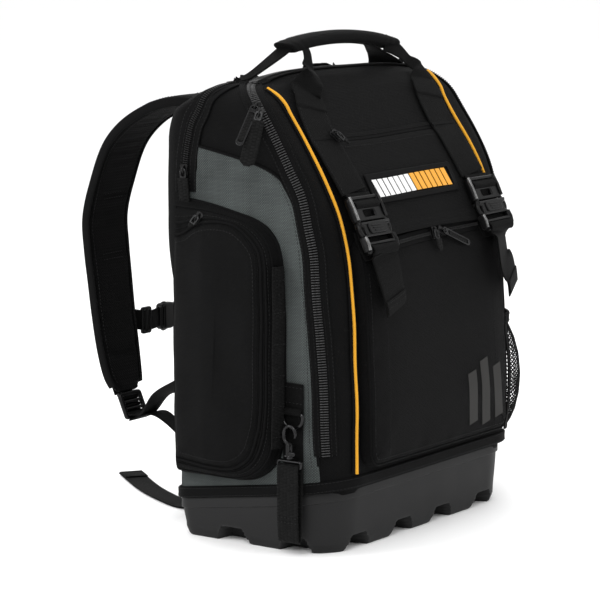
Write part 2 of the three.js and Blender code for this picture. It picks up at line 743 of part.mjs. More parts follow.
// Grey side panel: rows from the trim up to its sloping top, from its front edge to the back.
function sidePanel(side) {
  const top = PANEL_EDGE.at(-1).height * BODY_HEIGHT;
  const backEdge = PANEL_EDGE.at(-1).y * BODY_DEPTH;
  const columns = [0, 0.05, 0.1, 0.16, 0.55, 1];
  const grid = (lift) =>
    steps(14).map((t) =>
      columns.map((u) => {
        const shape = t ** 0.75;
        const high = lerp(PANEL_EDGE[0].height * BODY_HEIGHT, top - 0.5, shape);
        const edge = BODY_DEPTH * lookUp(PANEL_EDGE, "height", "y", high / BODY_HEIGHT);
        const y = lerp(edge, backEdge, u);
        const low = rimHeight(y) + TRIM_HEIGHT + 2 * CLEARANCE;
        const z = lerp(low, top - 0.5, shape);
        return point(side * (sideX(y, z) + lift), y, z);
      }),
    );
  return slab(grid(2 * CLEARANCE + CLOTH), grid(2 * CLEARANCE));
}

// How far the flap's inner face stands off the body at a height.
const flapOpen = (z) => FLAP_RISE * clamp((FLAP_TOP - z) / (FLAP_TOP - FLAP_BOTTOM), 0, 1) ** 1.5;
const flapY = (x, z, lift) => frontY(x, z) - CLEARANCE - flapOpen(z) - lift;

function frontFlap() {
  const grid = (lift) =>
    steps(9).map((t) =>
      steps(6).map((u) => {
        const z = lerp(FLAP_BOTTOM, FLAP_TOP, t);
        const x = lerp(-FLAP_WIDTH / 2, FLAP_WIDTH / 2, u);
        return point(x, flapY(x, z, lift), z);
      }),
    );
  return slab(grid(FLAP_THICKNESS), grid(0));
}

// Outline with round corners through a few corner points, pulled in by an inset, with its
// straight edges cut into a few equal parts.
function roundedOutline(corners, inset, arcSteps, edgeParts = 1) {
  const count = corners.length;
  const edges = corners.map((c, i) => {
    const next = corners[(i + 1) % count];
    const along = new THREE.Vector2(next.u - c.u, next.v - c.v).normalize();
    const inward = new THREE.Vector2(-along.y, along.x);
    return { start: new THREE.Vector2(c.u, c.v).addScaledVector(inward, inset), along };
  });
  const meet = (a, b) => {
    const gap = b.start.clone().sub(a.start);
    return a.start.clone().addScaledVector(a.along, gap.cross(b.along) / a.along.cross(b.along));
  };
  const list = [];
  corners.forEach((c, i) => {
    const [into, out] = [edges[(i + count - 1) % count], edges[i]];
    const tip = meet(into, out);
    const bend = into.along.angleTo(out.along);
    const radius = Math.max(c.round - inset, 1);
    const cutBack = radius * Math.tan(bend / 2);
    const start = tip.clone().addScaledVector(into.along, -cutBack);
    const centre = start.clone().addScaledVector(new THREE.Vector2(-into.along.y, into.along.x), radius);
    for (const t of steps(arcSteps)) {
      list.push(start.clone().rotateAround(centre, bend * t));
    }
  });
  const corner = arcSteps + 1;
  return list.flatMap((p, i) => {
    const next = list[(i + 1) % list.length];
    const parts = i % corner === arcSteps ? edgeParts : 1;
    return steps(parts).slice(0, -1).map((t) => p.clone().lerp(next, t));
  });
}

// Hollow pocket: rings from its foot on the body up to its crowned face, less a cavity.
// Each ring is an inset from the outline, a height off the body; at(u, v, height) places it.
function pocket(corners, rings, wall, edgeParts, at) {
  const ring = (inset, height) =>
    roundedOutline(corners, inset, 2, edgeParts).map((p) => at(p.x, p.y, height));
  const middle = roundedOutline(corners, 0, 3)
    .reduce((sum, p) => sum.add(p), new THREE.Vector2())
    .divideScalar(corners.length * 4);
  const top = rings.at(-1).height;
  const outer = stack(
    rings.map((r) => ring(r.inset, r.height)),
    null,
    at(middle.x, middle.y, top),
  );
  const deep = rings.filter((r) => r.height > 2 * wall);
  const cavity = stack(
    [ring(deep[0].inset + wall, -6), ...deep.map((r) => ring(r.inset + wall, r.height - wall))],
    null,
    at(middle.x, middle.y, top - wall),
  );
  return cut(outer, cavity);
}

function frontPocket() {
  const half = FRONT_POCKET_WIDTH / 2;
  const top = FLAP_BOTTOM - 2;
  const corners = [
    { u: -half, v: FRONT_POCKET_BOTTOM, round: FRONT_POCKET_ROUND },
    { u: half, v: FRONT_POCKET_BOTTOM, round: FRONT_POCKET_ROUND },
    { u: half, v: top, round: FRONT_POCKET_ROUND },
    { u: -half, v: top, round: FRONT_POCKET_ROUND },
  ];
  const rings = [
    { inset: 0, height: 0 },
    { inset: 0.5, height: 0.5 * FRONT_POCKET_DEPTH },
    { inset: 2.5, height: 0.8 * FRONT_POCKET_DEPTH },
    { inset: 6, height: 0.95 * FRONT_POCKET_DEPTH },
    { inset: 24, height: FRONT_POCKET_DEPTH + 0.6 * FRONT_POCKET_BULGE },
    { inset: 60, height: FRONT_POCKET_DEPTH + FRONT_POCKET_BULGE },
  ];
  return pocket(corners, rings, POCKET_WALL, 4, (x, z, height) => point(x, pocketY(x, z, height), z));
}
// Near its top the pocket stays low enough to slip under the flap.
const pocketSink = (z, height) => Math.min(height, lerp(height, 8, clamp((z - FLAP_BOTTOM + 22) / 20, 0, 1)));
const pocketY = (x, z, height) => frontY(x, z) - 1.5 * CLEARANCE - pocketSink(z, height);

// Height of the front pocket's face at a place, for what lies on it.
function pocketFace(x, z) {
  const inset = Math.min(FRONT_POCKET_WIDTH / 2 - Math.abs(x), z - FRONT_POCKET_BOTTOM, FLAP_BOTTOM - 2 - z);
  const bulge = FRONT_POCKET_BULGE * clamp(inset / 60, 0, 1) ** 0.7;
  return frontY(x, z) - CLEARANCE - pocketSink(z, FRONT_POCKET_DEPTH + bulge);
}

function frontPocketZip() {
  const z = FLAP_BOTTOM - 13;
  const route = steps(6).map((t) => {
    const x = lerp(-0.32, 0.32, t) * FRONT_POCKET_WIDTH;
    const at = point(x, pocketFace(x, z) - 1.6, z);
    return { at, across: point(0, 0.35, 0.94), up: point(0, -0.94, 0.35) };
  });
  return strip(route, 12, 1.6);
}
// Sliders that meet on the front pocket's zip, each with its pull leaning its own way.
function frontSlider(share, lean) {
  const x = (share * FRONT_POCKET_WIDTH) / 2;
  const z = FLAP_BOTTOM - 13;
  const up = point(0, -0.94, 0.35).normalize();
  const at = point(x, pocketFace(x, z) - 1.6, z).addScaledVector(up, 2 + CLEARANCE);
  const across = point(1, 0, 0).applyAxisAngle(up, lean);
  return setAt(slider(8, 34), at, across, up);
}

function crossZip() {
  const route = steps(6).map((t) => {
    const x = lerp(-0.43, 0.43, t) * FLAP_WIDTH;
    const z = FLAP_TOP + 9;
    const at = point(x, frontY(x, z), z);
    return { at, across: point(0, 0.6, 0.8), up: point(0, -0.8, 0.6) };
  });
  return strip(route, 10, 1.6, CLEARANCE);
}

function patch() {
  const grid = (lift) =>
    steps(3).map((t) =>
      steps(6).map((u) => {
        const z = lerp(PATCH_BOTTOM, PATCH_BOTTOM + PATCH_HEIGHT, t);
        const x = lerp(-PATCH_WIDTH / 2, PATCH_WIDTH / 2, u);
        return point(x, flapY(x, z, FLAP_THICKNESS + CLEARANCE + lift), z);
      }),
    );
  return slab(grid(PATCH_THICKNESS), grid(0));
}

// Front webbing: up from the buckle over the flap and the cross seam to the top.
function webbingLift(z) {
  const onFlap = flapOpen(z) + FLAP_THICKNESS + 2 * CLEARANCE;
  const onSeam = 1.6 + 2 * CLEARANCE;
  if (z < FLAP_TOP - 4) return onFlap + 0.4;
  return lerp(onFlap + 0.4, onSeam, clamp((z - FLAP_TOP + 4) / 6, 0, 1));
}
function frontWebbing(side) {
  const heights = steps(16).map((t) => lerp(BUCKLE_TOP + 4, BODY_HEIGHT - 13, t));
  const edge = (extra) =>
    heights.map((z) =>
      [-0.5, 0.5].map((s) => {
        const x = side * WEBBING_CENTRE + s * WEBBING_WIDTH;
        const lift = webbingLift(z) + extra;
        const q = point(x, frontY(x, z), z);
        const up = bodyNormal(q).setX(0).normalize();
        return q.addScaledVector(up, lift);
      }),
    );
  return slab(edge(WEBBING_THICKNESS), edge(0));
}

// The line that each front buckle lies along, down the flap and over the pocket's top.
function buckleAxes(side) {
  const x = side * WEBBING_CENTRE;
  const top = point(x, flapY(x, BUCKLE_TOP, FLAP_THICKNESS + 1.2), BUCKLE_TOP);
  const low = BUCKLE_TOP - 0.88 * BUCKLE_LENGTH;
  const bottom = point(x, pocketFace(x, low) - 10.6, low);
  const down = bottom.clone().sub(top).normalize();
  const out = point(1, 0, 0).cross(down).normalize();
  if (out.y > 0) out.negate();
  return { top, down, out };
}
const alongBuckle = (axes, distance, lift = 0) =>
  axes.top.clone().addScaledVector(axes.down, distance).addScaledVector(axes.out, lift);

function buckleHalf(side, isUpper) {
  const axes = buckleAxes(side);
  const length = BUCKLE_LENGTH / 2 - CLEARANCE;
  const fromEnd = length / 2 - 6;
  const slot = { x: 0, y: isUpper ? fromEnd : -fromEnd, width: WEBBING_WIDTH - 2, length: 5, round: 1 };
  const slots = isUpper ? [slot] : [slot, { ...slot, y: slot.y + 8.5 }];
  const body = plate(BUCKLE_WIDTH, length, BUCKLE_THICKNESS, 4, slots);
  const middle = alongBuckle(axes, isUpper ? length / 2 : BUCKLE_LENGTH - length / 2, 0);
  return setAt(body, middle, point(1, 0, 0), axes.out);
}

// Webbing that holds the lower half: out from under the flap and over the pocket's top.
function buckleTab(side) {
  const x = side * WEBBING_CENTRE;
  const route = [8, 2, -6, -14, -20].map((above) => {
    const z = FLAP_BOTTOM + above;
    const onPocket = pocketSink(Math.min(z, FLAP_BOTTOM), FRONT_POCKET_DEPTH + 2);
    return {
      at: point(x, frontY(x, z) - onPocket - 2 * CLEARANCE, z),
      across: point(1, 0, 0),
      up: point(0, -1, 0),
    };
  });
  return strip(route, WEBBING_WIDTH - 6, WEBBING_THICKNESS);
}

function frontTail(side) {
  const axes = buckleAxes(side);
  const start = alongBuckle(axes, BUCKLE_LENGTH + CLEARANCE, BUCKLE_THICKNESS / 2);
  const route = steps(5).map((t) => {
    const z = start.z - t * TAIL_LENGTH;
    const x = side * WEBBING_CENTRE + t * (side < 0 ? 12 : 8);
    const hang = pocketFace(0.8 * x, z) - 5;
    return { at: point(x, lerp(start.y, hang, t ** 0.4), z), across: point(1, 0, 0), up: point(0, -1, 0) };
  });
  return strip(route, WEBBING_WIDTH - 1, WEBBING_THICKNESS);
}

function piping(side) {
  const heights = [0.177, 0.3, 0.42, 0.53, 0.62, 0.7, 0.77, 0.83, 0.89, 0.935, 0.955, 0.975];
  const lift = PIPING_RADIUS + 6 * CLEARANCE;
  const places = heights.map((share) => {
    const z = share * BODY_HEIGHT;
    const x = (side * PIPING_SPACING) / 2;
    return onBody(point(x, frontY(x, z), z), share < 0.95 ? lift : lift + 1.4);
  });
  const end = onBody(point(side * (PIPING_SPACING / 2 + 6), 0, BODY_HEIGHT), lift + 2.6);
  return tube([...places, end], PIPING_RADIUS, 32, 5);
}

function sidePocketCorners() {
  const slope = SIDE_POCKET_SLOPE;
  return [
    { u: SIDE_POCKET_FRONT, v: SIDE_POCKET_BOTTOM, round: SIDE_POCKET_ROUND },
    { u: SIDE_POCKET_BACK, v: SIDE_POCKET_BOTTOM, round: 8 },
    { u: SIDE_POCKET_BACK, v: SIDE_POCKET_TOP, round: 8 },
    { u: SIDE_POCKET_FRONT, v: SIDE_POCKET_TOP - slope, round: SIDE_POCKET_ROUND },
  ];
}
const sideLift = CLOTH + 3 * CLEARANCE;
function sidePocket() {
  const rings = [
    { inset: 0, height: 0 },
    { inset: 0.6, height: 0.25 * SIDE_POCKET_DEPTH },
    { inset: 7, height: 0.85 * SIDE_POCKET_DEPTH },
    { inset: 11, height: SIDE_POCKET_DEPTH },
    { inset: 24, height: SIDE_POCKET_DEPTH + 0.7 * SIDE_POCKET_BULGE },
    { inset: 46, height: SIDE_POCKET_DEPTH + SIDE_POCKET_BULGE },
  ];
  const face = (y, z) => -sideX(Math.min(y, BODY_DEPTH * 0.4), z) - sideLift;
  const at = (y, z, height) => point(face(y, z) - backSink(y, height), y, z);
  return pocket(sidePocketCorners(), rings, POCKET_WALL, 3, at);
}
// Towards the body's back edge the pocket thins to a hand's breadth of padding.
const backSink = (y, height) => height * lerp(1, 0.72, clamp((y - 40) / 50, 0, 1));

function sidePocketZip() {
  const arc = 6;
  const line = (inset) => {
    const list = roundedOutline(sidePocketCorners(), inset, arc - 1);
    const bottom = list.slice(0, arc);
    const top = list.slice(3 * arc, 4 * arc);
    const start = top[0].clone().lerp(list[3 * arc - 1], 0.8);
    const end = bottom.at(-1).clone().lerp(list[arc], 0.8);
    return [start, ...top, ...bottom, end];
  };
  const face = (p) => -sideX(p.x, p.y) - sideLift - backSink(p.x, SIDE_POCKET_DEPTH) - 2.6;
  const [outer, inner] = [line(7), line(14)];
  const grid = (lift) => outer.map((p, i) => [p, inner[i]].map((q) => point(face(q) - lift, q.x, q.y)));
  return slab(grid(1.6), grid(0));
}

function daisyWebbing() {
  const top = SIDE_POCKET_TOP - SIDE_POCKET_SLOPE - 1.6 * SIDE_POCKET_ROUND;
  const bottom = SIDE_POCKET_BOTTOM + 1.2 * SIDE_POCKET_ROUND;
  const footX = BODY_WIDTH / 2 + sideLift + 0.32 * SIDE_POCKET_DEPTH;
  const headX = footX + 0.5 * SIDE_POCKET_DEPTH;
  const slope = point(-(headX - footX), DAISY_WIDTH * 0.45, 0).normalize();
  const up = point(slope.y, -slope.x, 0).multiplyScalar(-1);
  if (up.y > 0) up.negate();
  const route = steps(8).map((t) => ({
    at: point(-footX, SIDE_POCKET_FRONT + 1, lerp(bottom, top, t))
      .addScaledVector(slope, DAISY_WIDTH / 2)
      .addScaledVector(up, 0.2),
    across: slope,
    up,
  }));
  return strip(route, DAISY_WIDTH, WEBBING_THICKNESS);
}

// Net: a lattice of strands, open between them, standing off the right side of the body.
function netPlace(u, v, lift) {
  const z = lerp(NET_BOTTOM, NET_TOP, v);
  const distance = lerp(NET_START, NET_END, u);
  const across = Math.sin(Math.PI * clamp(u, 0, 1)) ** 0.35;
  const bulge = NET_BULGE * lookUp(NET_SHAPE, "height", "bulge", v) * across;
  return roundBody(z, distance, CLOTH + 3 * CLEARANCE + bulge + lift);
}
function netPocket() {
  const columns = 2 * NET_COLUMNS + 1;
  const rows = 2 * NET_ROWS + 1;
  const strand = 0.3;
  const share = (i, count) => (Math.floor(i / 2) + (i % 2 ? strand : 0)) / ((count - 1) / 2 + strand);
  const points = [];
  const triangles = [];
  const at = (i, j, layer) => layer * (columns + 1) * (rows + 1) + i * (rows + 1) + j;
  for (const lift of [NET_THICKNESS, 0]) {
    for (let i = 0; i <= columns; i++) {
      for (let j = 0; j <= rows; j++) {
        points.push(netPlace(share(i, columns), share(j, rows), lift));
      }
    }
  }
  const solid = (i, j) => i >= 0 && j >= 0 && i < columns && j < rows && !(i % 2 && j % 2);
  const quad = (a, b, c, d) => triangles.push([a, b, c], [a, c, d]);
  for (let i = 0; i < columns; i++) {
    for (let j = 0; j < rows; j++) {
      if (!solid(i, j)) continue;
      quad(at(i, j, 0), at(i + 1, j, 0), at(i + 1, j + 1, 0), at(i, j + 1, 0));
      quad(at(i, j, 1), at(i, j + 1, 1), at(i + 1, j + 1, 1), at(i + 1, j, 1));
      if (!solid(i - 1, j)) quad(at(i, j, 1), at(i, j, 0), at(i, j + 1, 0), at(i, j + 1, 1));
      if (!solid(i + 1, j)) quad(at(i + 1, j, 0), at(i + 1, j, 1), at(i + 1, j + 1, 1), at(i + 1, j + 1, 0));
      if (!solid(i, j - 1)) quad(at(i, j, 0), at(i, j, 1), at(i + 1, j, 1), at(i + 1, j, 0));
      if (!solid(i, j + 1)) quad(at(i, j + 1, 1), at(i, j + 1, 0), at(i + 1, j + 1, 0), at(i + 1, j + 1, 1));
    }
  }
  return closed(points, triangles);
}
// The net's woven hem, from one share of its width to another.
function netHem(from, to) {
  const reach = HEM_HEIGHT / (NET_TOP - NET_BOTTOM);
  const grid = (lift) =>
    steps(8).map((t) => [1.004, 1 + reach].map((v) => {
      const p = netPlace(lerp(from, to, t), 1, lift);
      return p.setZ(lerp(NET_BOTTOM, NET_TOP, v));
    }));
  return slab(grid(NET_THICKNESS + 0.6), grid(-0.2));
}

// Carry handle: rear legs that rise behind the grip's ends and front legs that run on from
// the front webbing and narrow to the grip's front face.
function legSlab(outerEdge, innerEdge, out) {
  const [a, b] = [outerEdge, innerEdge].map((list) => new THREE.CatmullRomCurve3(list));
  const grid = (lift) =>
    steps(7).map((t) => [a.getPoint(t), b.getPoint(t)].map((p) => p.addScaledVector(out, lift)));
  return slab(grid(LEG_THICKNESS), grid(0));
}
function rearLeg(side) {
  const end = point(side * (GRIP_LENGTH / 2 + 3.5), HANDLE_Y, gripCentre(GRIP_LENGTH / 2) - 1);
  const edge = (s) => {
    const footY = REAR_LEG_Y + (s * REAR_LEG_WIDTH) / 2;
    const foot = onBody(point(side * REAR_LEG_X, footY, BODY_HEIGHT + 6), 1.5);
    const middle = point(
      side * lerp(REAR_LEG_X, GRIP_LENGTH / 2, 0.45),
      lerp(REAR_LEG_Y, HANDLE_Y, 0.4) + (s * LEG_WIDTH) / 2,
      lerp(foot.z, end.z, 0.58),
    );
    return [foot, middle, end.clone().add(point(0, (s * LEG_WIDTH) / 2, 0))];
  };
  return legSlab(edge(1), edge(-1), point(side * 0.6, 0, 0.8));
}
function frontLeg(side) {
  const gripFront = HANDLE_Y - GRIP_WIDTH / 2 - 2 * CLEARANCE;
  const edge = (s) => {
    const footX = side * (FRONT_LEG_X + (s * FRONT_LEG_WIDTH) / 2);
    const foot = onBody(point(footX, -9, BODY_HEIGHT + 2), 0.5);
    const top = point(
      side * (FRONT_LEG_JOIN + 4 * s),
      gripFront,
      gripCentre(FRONT_LEG_JOIN) + 5 * s,
    );
    const middle = foot.clone().lerp(top, 0.55).add(point(side * 3, -3, s > 0 ? 4 : -3));
    return [foot, middle, top];
  };
  return legSlab(edge(1), edge(-1), point(0, -1, 0));
}
function gripCentre(x) {
  return HANDLE_HEIGHT - HANDLE_SAG * (Math.abs(x) / (GRIP_LENGTH / 2)) ** 2;
}
function handleGrip() {
  const rings = steps(10).map((t) => {
    const x = lerp(-GRIP_LENGTH / 2, GRIP_LENGTH / 2, t);
    const slope = (-2 * HANDLE_SAG * x) / (GRIP_LENGTH / 2) ** 2;
    const normal = point(-slope, 0, 1).normalize();
    return steps(10)
      .slice(0, -1)
      .map((a) => {
        const angle = 2 * Math.PI * a;
        return point(x, HANDLE_Y, gripCentre(x))
          .addScaledVector(normal, (Math.sin(angle) * GRIP_THICKNESS) / 2)
          .add(point(0, (Math.cos(angle) * GRIP_WIDTH) / 2, 0));
      });
  });
  return stack(rings);
}

// Back pads: crowned blocks on the back, two columns over a lumbar pad.
function backPad(left, right, bottom, top) {
  const corners = [
    { u: left, v: bottom, round: 16 },
    { u: right, v: bottom, round: 16 },
    { u: right, v: top, round: 16 },
    { u: left, v: top, round: 16 },
  ];
  const rings = [
    { inset: 0, height: 0 },
    { inset: 1, height: 0.55 },
    { inset: 5, height: 0.85 },
    { inset: 16, height: 1 },
  ];
  const back = (x, z, height) => point(x, section(z).back + CLEARANCE + height * BACK_PAD_THICKNESS, z);
  const list = rings.map((r) => roundedOutline(corners, r.inset, 3).map((p) => back(p.x, p.y, r.height)));
  const middle = { x: (left + right) / 2, z: (bottom + top) / 2 };
  return stack(list, back(middle.x, middle.z, 0), back(middle.x, middle.z, 1));
}

const strapPoint = (row, side, swing = 0) =>
  point(
    side * (STRAP_CENTRE + swing),
    BODY_DEPTH / 2 + row.out * STRAP_REACH,
    lerp(STRAP_BOTTOM, STRAP_TOP, row.height),
  );
function strapCurve(side) {
  return new THREE.CatmullRomCurve3(STRAP_LINE.map((row) => strapPoint(row, side)));
}
function shoulderPad(side) {
  const curve = strapCurve(side);
  const count = 20;
  const rings = steps(count).map((t) => {
    const along = curve.getTangent(t);
    const across = point(1, 0, 0);
    const up = across.clone().cross(along).normalize();
    const rows = STRAP_LINE.map((row, i) => ({ t: i / (STRAP_LINE.length - 1), width: row.width }));
    const half = (STRAP_WIDTH / 2) * lookUp(rows, "t", "width", t);
    const thick = STRAP_THICKNESS / 2;
    const shape = [
      [1, 0],
      [0.9, 0.8],
      [0.3, 1],
      [-0.3, 1],
      [-0.9, 0.8],
      [-1, 0],
      [-0.9, -0.8],
      [0.9, -0.8],
    ];
    return shape.map(([a, b]) =>
      curve.getPoint(t).addScaledVector(across, a * half).addScaledVector(up, b * thick),
    );
  });
  return stack(rings);
}

// The ladder lock hangs from the strap's end, in the plane of the webbing.
function lockAxes(side) {
  const curve = strapCurve(side);
  const end = curve.getPoint(1);
  const along = curve.getTangent(1);
  const up = point(1, 0, 0).cross(along).normalize();
  return { end, along, up };
}
function ladderLock(side) {
  const { end, along, up } = lockAxes(side);
  const bars = [-8, 0, 8].map((y) => ({ x: 0, y, width: STRAP_WEBBING + 1, length: 4.4, round: 1 }));
  const body = plate(STRAP_WEBBING + 9, LOCK_LENGTH, 5, 3, bars);
  const middle = end.clone().addScaledVector(along, LOCK_LENGTH / 2 + CLEARANCE).addScaledVector(up, -2.5);
  return setAt(body, middle, point(1, 0, 0), up);
}
function anchorWebbing(side) {
  const { end, along, up } = lockAxes(side);
  const start = end.clone().addScaledVector(along, LOCK_LENGTH - 4.4).addScaledVector(up, -3.4);
  const foot = point(side * BODY_WIDTH * 0.41, BODY_DEPTH / 2 + 7.2, BODY_HEIGHT * 0.295);
  const knee = point(lerp(start.x, foot.x, 0.5), lerp(start.y, foot.y, 0.5), lerp(start.z, foot.z, 0.62));
  const lead = start.clone().add(point(0, -12, 1));
  const curve = new THREE.CatmullRomCurve3([start, lead, knee, foot]);
  const route = steps(9).map((t) => {
    const tangent = curve.getTangent(t);
    const across = point(1, 0, 0).lerp(point(0.4, 0, side * 0.9), 0.6 * t * t).normalize();
    const level = across.clone().addScaledVector(tangent, -across.dot(tangent)).normalize();
    return { at: curve.getPoint(t), across: level, up: level.clone().cross(tangent).normalize() };
  });
  return strip(route, STRAP_WEBBING - 2, STRAP_WEBBING_THICKNESS);
}
function strapTail(side, route) {
  const { end, along, up } = lockAxes(side);
  const start = end.clone().addScaledVector(along, LOCK_LENGTH + 1.4).addScaledVector(up, 1.4);
  const curve = new THREE.CatmullRomCurve3([start, ...route.map((p) => point(p.x, p.y, p.z))]);
  const places = steps(18).map((t) => {
    const tangent = curve.getTangent(t);
    const flat = point(tangent.x, tangent.y, 0).normalize();
    const level = point(flat.y, -flat.x, 0);
    const across = Math.abs(tangent.z) > 0.6 ? point(1, 0, 0) : level;
    const blended = across.lerp(level, 0.7).normalize();
    const square = blended.addScaledVector(tangent, -blended.dot(tangent)).normalize();
    return { at: curve.getPoint(t), across: square, up: square.clone().cross(tangent).normalize() };
  });
  return strip(places, STRAP_WEBBING - 1, STRAP_WEBBING_THICKNESS, -STRAP_WEBBING_THICKNESS / 2);
}

// Chest strap between the shoulder pads, with its buckle in the middle.
const sternumOut = () => {
  const share = (STERNUM_HEIGHT - STRAP_BOTTOM) / (STRAP_TOP - STRAP_BOTTOM);
  const low = STRAP_LINE.slice(8);
  return BODY_DEPTH / 2 + STRAP_REACH * lookUp(low, "height", "out", share);
};
function sternumWebbing(side) {
  const y = sternumOut();
  const inner = STERNUM_BUCKLE_WIDTH / 2 + CLEARANCE;
  const outer = STRAP_CENTRE - (STRAP_WIDTH / 2) * 0.85 - CLEARANCE;
  const route = steps(6).map((t) => ({
    at: point(side * lerp(outer, inner, t), y - 2 - 6 * Math.sin(Math.PI * t), STERNUM_HEIGHT - 4 * t),
    across: point(0, 0, 1),
    up: point(0, 1, 0),
  }));
  return strip(route, STERNUM_WEBBING, 3);
}
function sternumBuckle() {
  const body = plate(STERNUM_BUCKLE_WIDTH, 30, 9, 5);
  return setAt(body, point(0, sternumOut() - 6, STERNUM_HEIGHT - 5), point(1, 0, 0), point(0, 1, 0));
}

// Ring, hook and loop hang in one line beside the grey panel.
const hangX = () => BODY_WIDTH / 2 + CLOTH + 3 * CLEARANCE;
function ringTab() {
  const x = -hangX() - 0.4;
  const high = RING_Z + TAB_LENGTH;
  const outer = (lift) => [
    point(x - lift, RING_Y, high),
    point(x - lift, RING_Y, RING_Z + 5),
    point(x - 1.2 - lift, RING_Y, RING_Z + 1.2),
  ];
  const across = (s) => point(0, s * (RING_WIDTH - 3), 0);
  const grid = (lift) => outer(lift).map((p) => [-0.5, 0.5].map((s) => p.clone().add(across(s))));
  return slab(grid(2.4), grid(0));
}
function dRing() {
  const x = -hangX() - 4.2;
  const half = RING_WIDTH / 2;
  const places = [
    point(x, RING_Y - half + 2, RING_Z - 1),
    point(x, RING_Y - half, RING_Z - 4),
    point(x, RING_Y - half * 0.8, RING_Z - 12),
    point(x, RING_Y, RING_Z - 17),
    point(x, RING_Y + half * 0.8, RING_Z - 12),
    point(x, RING_Y + half, RING_Z - 4),
    point(x, RING_Y + half - 2, RING_Z - 1),
  ];
  const bow = tube(places, RING_WIRE, 12);
  const barEnds = [places[0].clone().add(point(0, -1.6, 0)), places[6].clone().add(point(0, 1.6, 0))];
  const bar = tube(barEnds, RING_WIRE, 1);
  return join(bow, bar);
}
const hookTop = () => RING_Z - 11.5;
const hookX = () => -hangX() - 4.2 - RING_WIRE - HOOK_THICKNESS - 0.4;
function snapHook() {
  const eye = new THREE.Shape();
  const [w, high] = [8.5, HOOK_LENGTH];
  eye.moveTo(-3.2, -high + 8);
  eye.lineTo(3.2, -high + 8);
  eye.lineTo(3.6, -22);
  eye.lineTo(w, -14);
  eye.absarc(0, -8.5, w, 0, Math.PI);
  eye.lineTo(-w, -14);
  eye.lineTo(-3.6, -22);
  const hole = new THREE.Path();
  hole.absellipse(0, -10, 5, 6.5, 0, 2 * Math.PI, true);
  eye.holes.push(hole);
  const settings = { depth: HOOK_THICKNESS, bevelEnabled: false, curveSegments: 5 };
  const body = new THREE.ExtrudeGeometry(eye, settings);
  const slot = { x: 0, y: -0.6, width: LOOP_WIDTH - 2, length: 4, round: 1 };
  const foot = plate(LOOP_WIDTH + 3, 9, HOOK_THICKNESS, 3, [slot]);
  foot.translate(0, -high + 4.4, 0);
  return setAt(join(body, foot), point(hookX(), RING_Y, hookTop()), point(0, 1, 0), point(1, 0, 0));
}
// The gate lever pivots beside the hook's neck.
const gatePivot = () => point(hookX() - CLEARANCE, RING_Y, hookTop() - 26);
function snapGate() {
  const lever = plate(4.4, 15, 2, 2);
  const thumb = plate(8, 4, 2, 1.6);
  thumb.translate(5, -4, 0);
  return setAt(join(lever, thumb), gatePivot(), point(0, -1, 0), point(-1, 0, 0));
}
// The loop is a closed hoop through the foot's slot.
function keyLoop() {
  const x = hookX() + HOOK_THICKNESS / 2;
  const bar = hookTop() - HOOK_LENGTH + 1.1;
  const reach = HOOK_THICKNESS / 2 + 0.7;
  const places = [
    [-reach, -LOOP_LENGTH * 0.7, -1, 0],
    [-reach, -2, -1, 0],
    [-reach * 0.7, 1.9, -0.7, 0.7],
    [0, 2.4, 0, 1],
    [reach * 0.7, 1.9, 0.7, 0.7],
    [reach, -2, 1, 0],
    [reach * 0.8, -LOOP_LENGTH * 0.7, 1, 0],
    [1.2, -LOOP_LENGTH, 0.5, -0.7],
    [-1.2, -LOOP_LENGTH, -0.5, -0.7],
  ];
  const grid = (lift) =>
    places.map(([across, up, outX, outZ]) =>
      [-0.5, 0.5].map((s) => {
        const y = RING_Y + s * (LOOP_WIDTH - 4);
        return point(x + across + outX * lift, y, bar + up + outZ * lift);
      }),
    );
  return slab(grid(1.1), grid(0), true);
}

place("base_tub", baseTub(), RUBBER);
place("base_trim", baseTrim(), WEBBING);
place("body_shell", bodyShell(), FABRIC);
place("side_panel_left", sidePanel(-1), PANEL_CLOTH);
place("side_panel_right", sidePanel(1), PANEL_CLOTH);
place("front_flap", frontFlap(), FABRIC);
place("front_pocket", frontPocket(), FABRIC);
place("front_pocket_zip", frontPocketZip(), WEBBING);
place("upper_zip", crossZip(), WEBBING);
place("patch", patch(), PRINT);
for (const [name, side] of [["left", -1], ["right", 1]]) {
  place(`front_webbing_${name}`, frontWebbing(side), WEBBING);
  place(`buckle_${name}_upper`, buckleHalf(side, true), NYLON);
  place(`buckle_${name}_lower`, buckleHalf(side, false), NYLON);
  place(`buckle_tab_${name}`, buckleTab(side), WEBBING);
  place(`tail_${name}`, frontTail(side), WEBBING);
  place(`piping_${name}`, piping(side), AMBER);
}
place("main_zip", zip(bodyRoute(lineOver(MAIN_ZIP_LINE, 0.5)), ZIP_TAPE), WEBBING);
place("back_zip", zip(bodyRoute(lineOver(BACK_ZIP_LINE)), BACK_ZIP_TAPE), WEBBING);
for (const row of MAIN_SLIDERS) {
  const y = BODY_DEPTH * lookUp(MAIN_ZIP_LINE.slice(0, 11), "height", "y", row.height);
  const at = point(-BODY_WIDTH / 2, y, row.height * BODY_HEIGHT);
  const lift = ZIP_LIFT + ZIP_TEETH_THICKNESS + CLEARANCE;
  place(row.name, sliderOn(at, lift, row.width, row.length, row.lean), NYLON);
}
{
  const y = BODY_DEPTH * lookUp(BACK_ZIP_LINE.slice(0, 5), "height", "y", BACK_SLIDER_HEIGHT);
  const at = point(-BODY_WIDTH / 2, y, BACK_SLIDER_HEIGHT * BODY_HEIGHT);
  const lift = ZIP_LIFT + ZIP_TEETH_THICKNESS + CLEARANCE;
  place("back_pull", sliderOn(at, lift, 8, 34, 0.1), NYLON);
}
place("front_pull_inner", frontSlider(0.06, -0.25), NYLON);
place("front_pull_outer", frontSlider(0.16, 0.9), NYLON);
place("side_pocket", sidePocket(), FABRIC);
place("side_pocket_zip", sidePocketZip(), WEBBING);
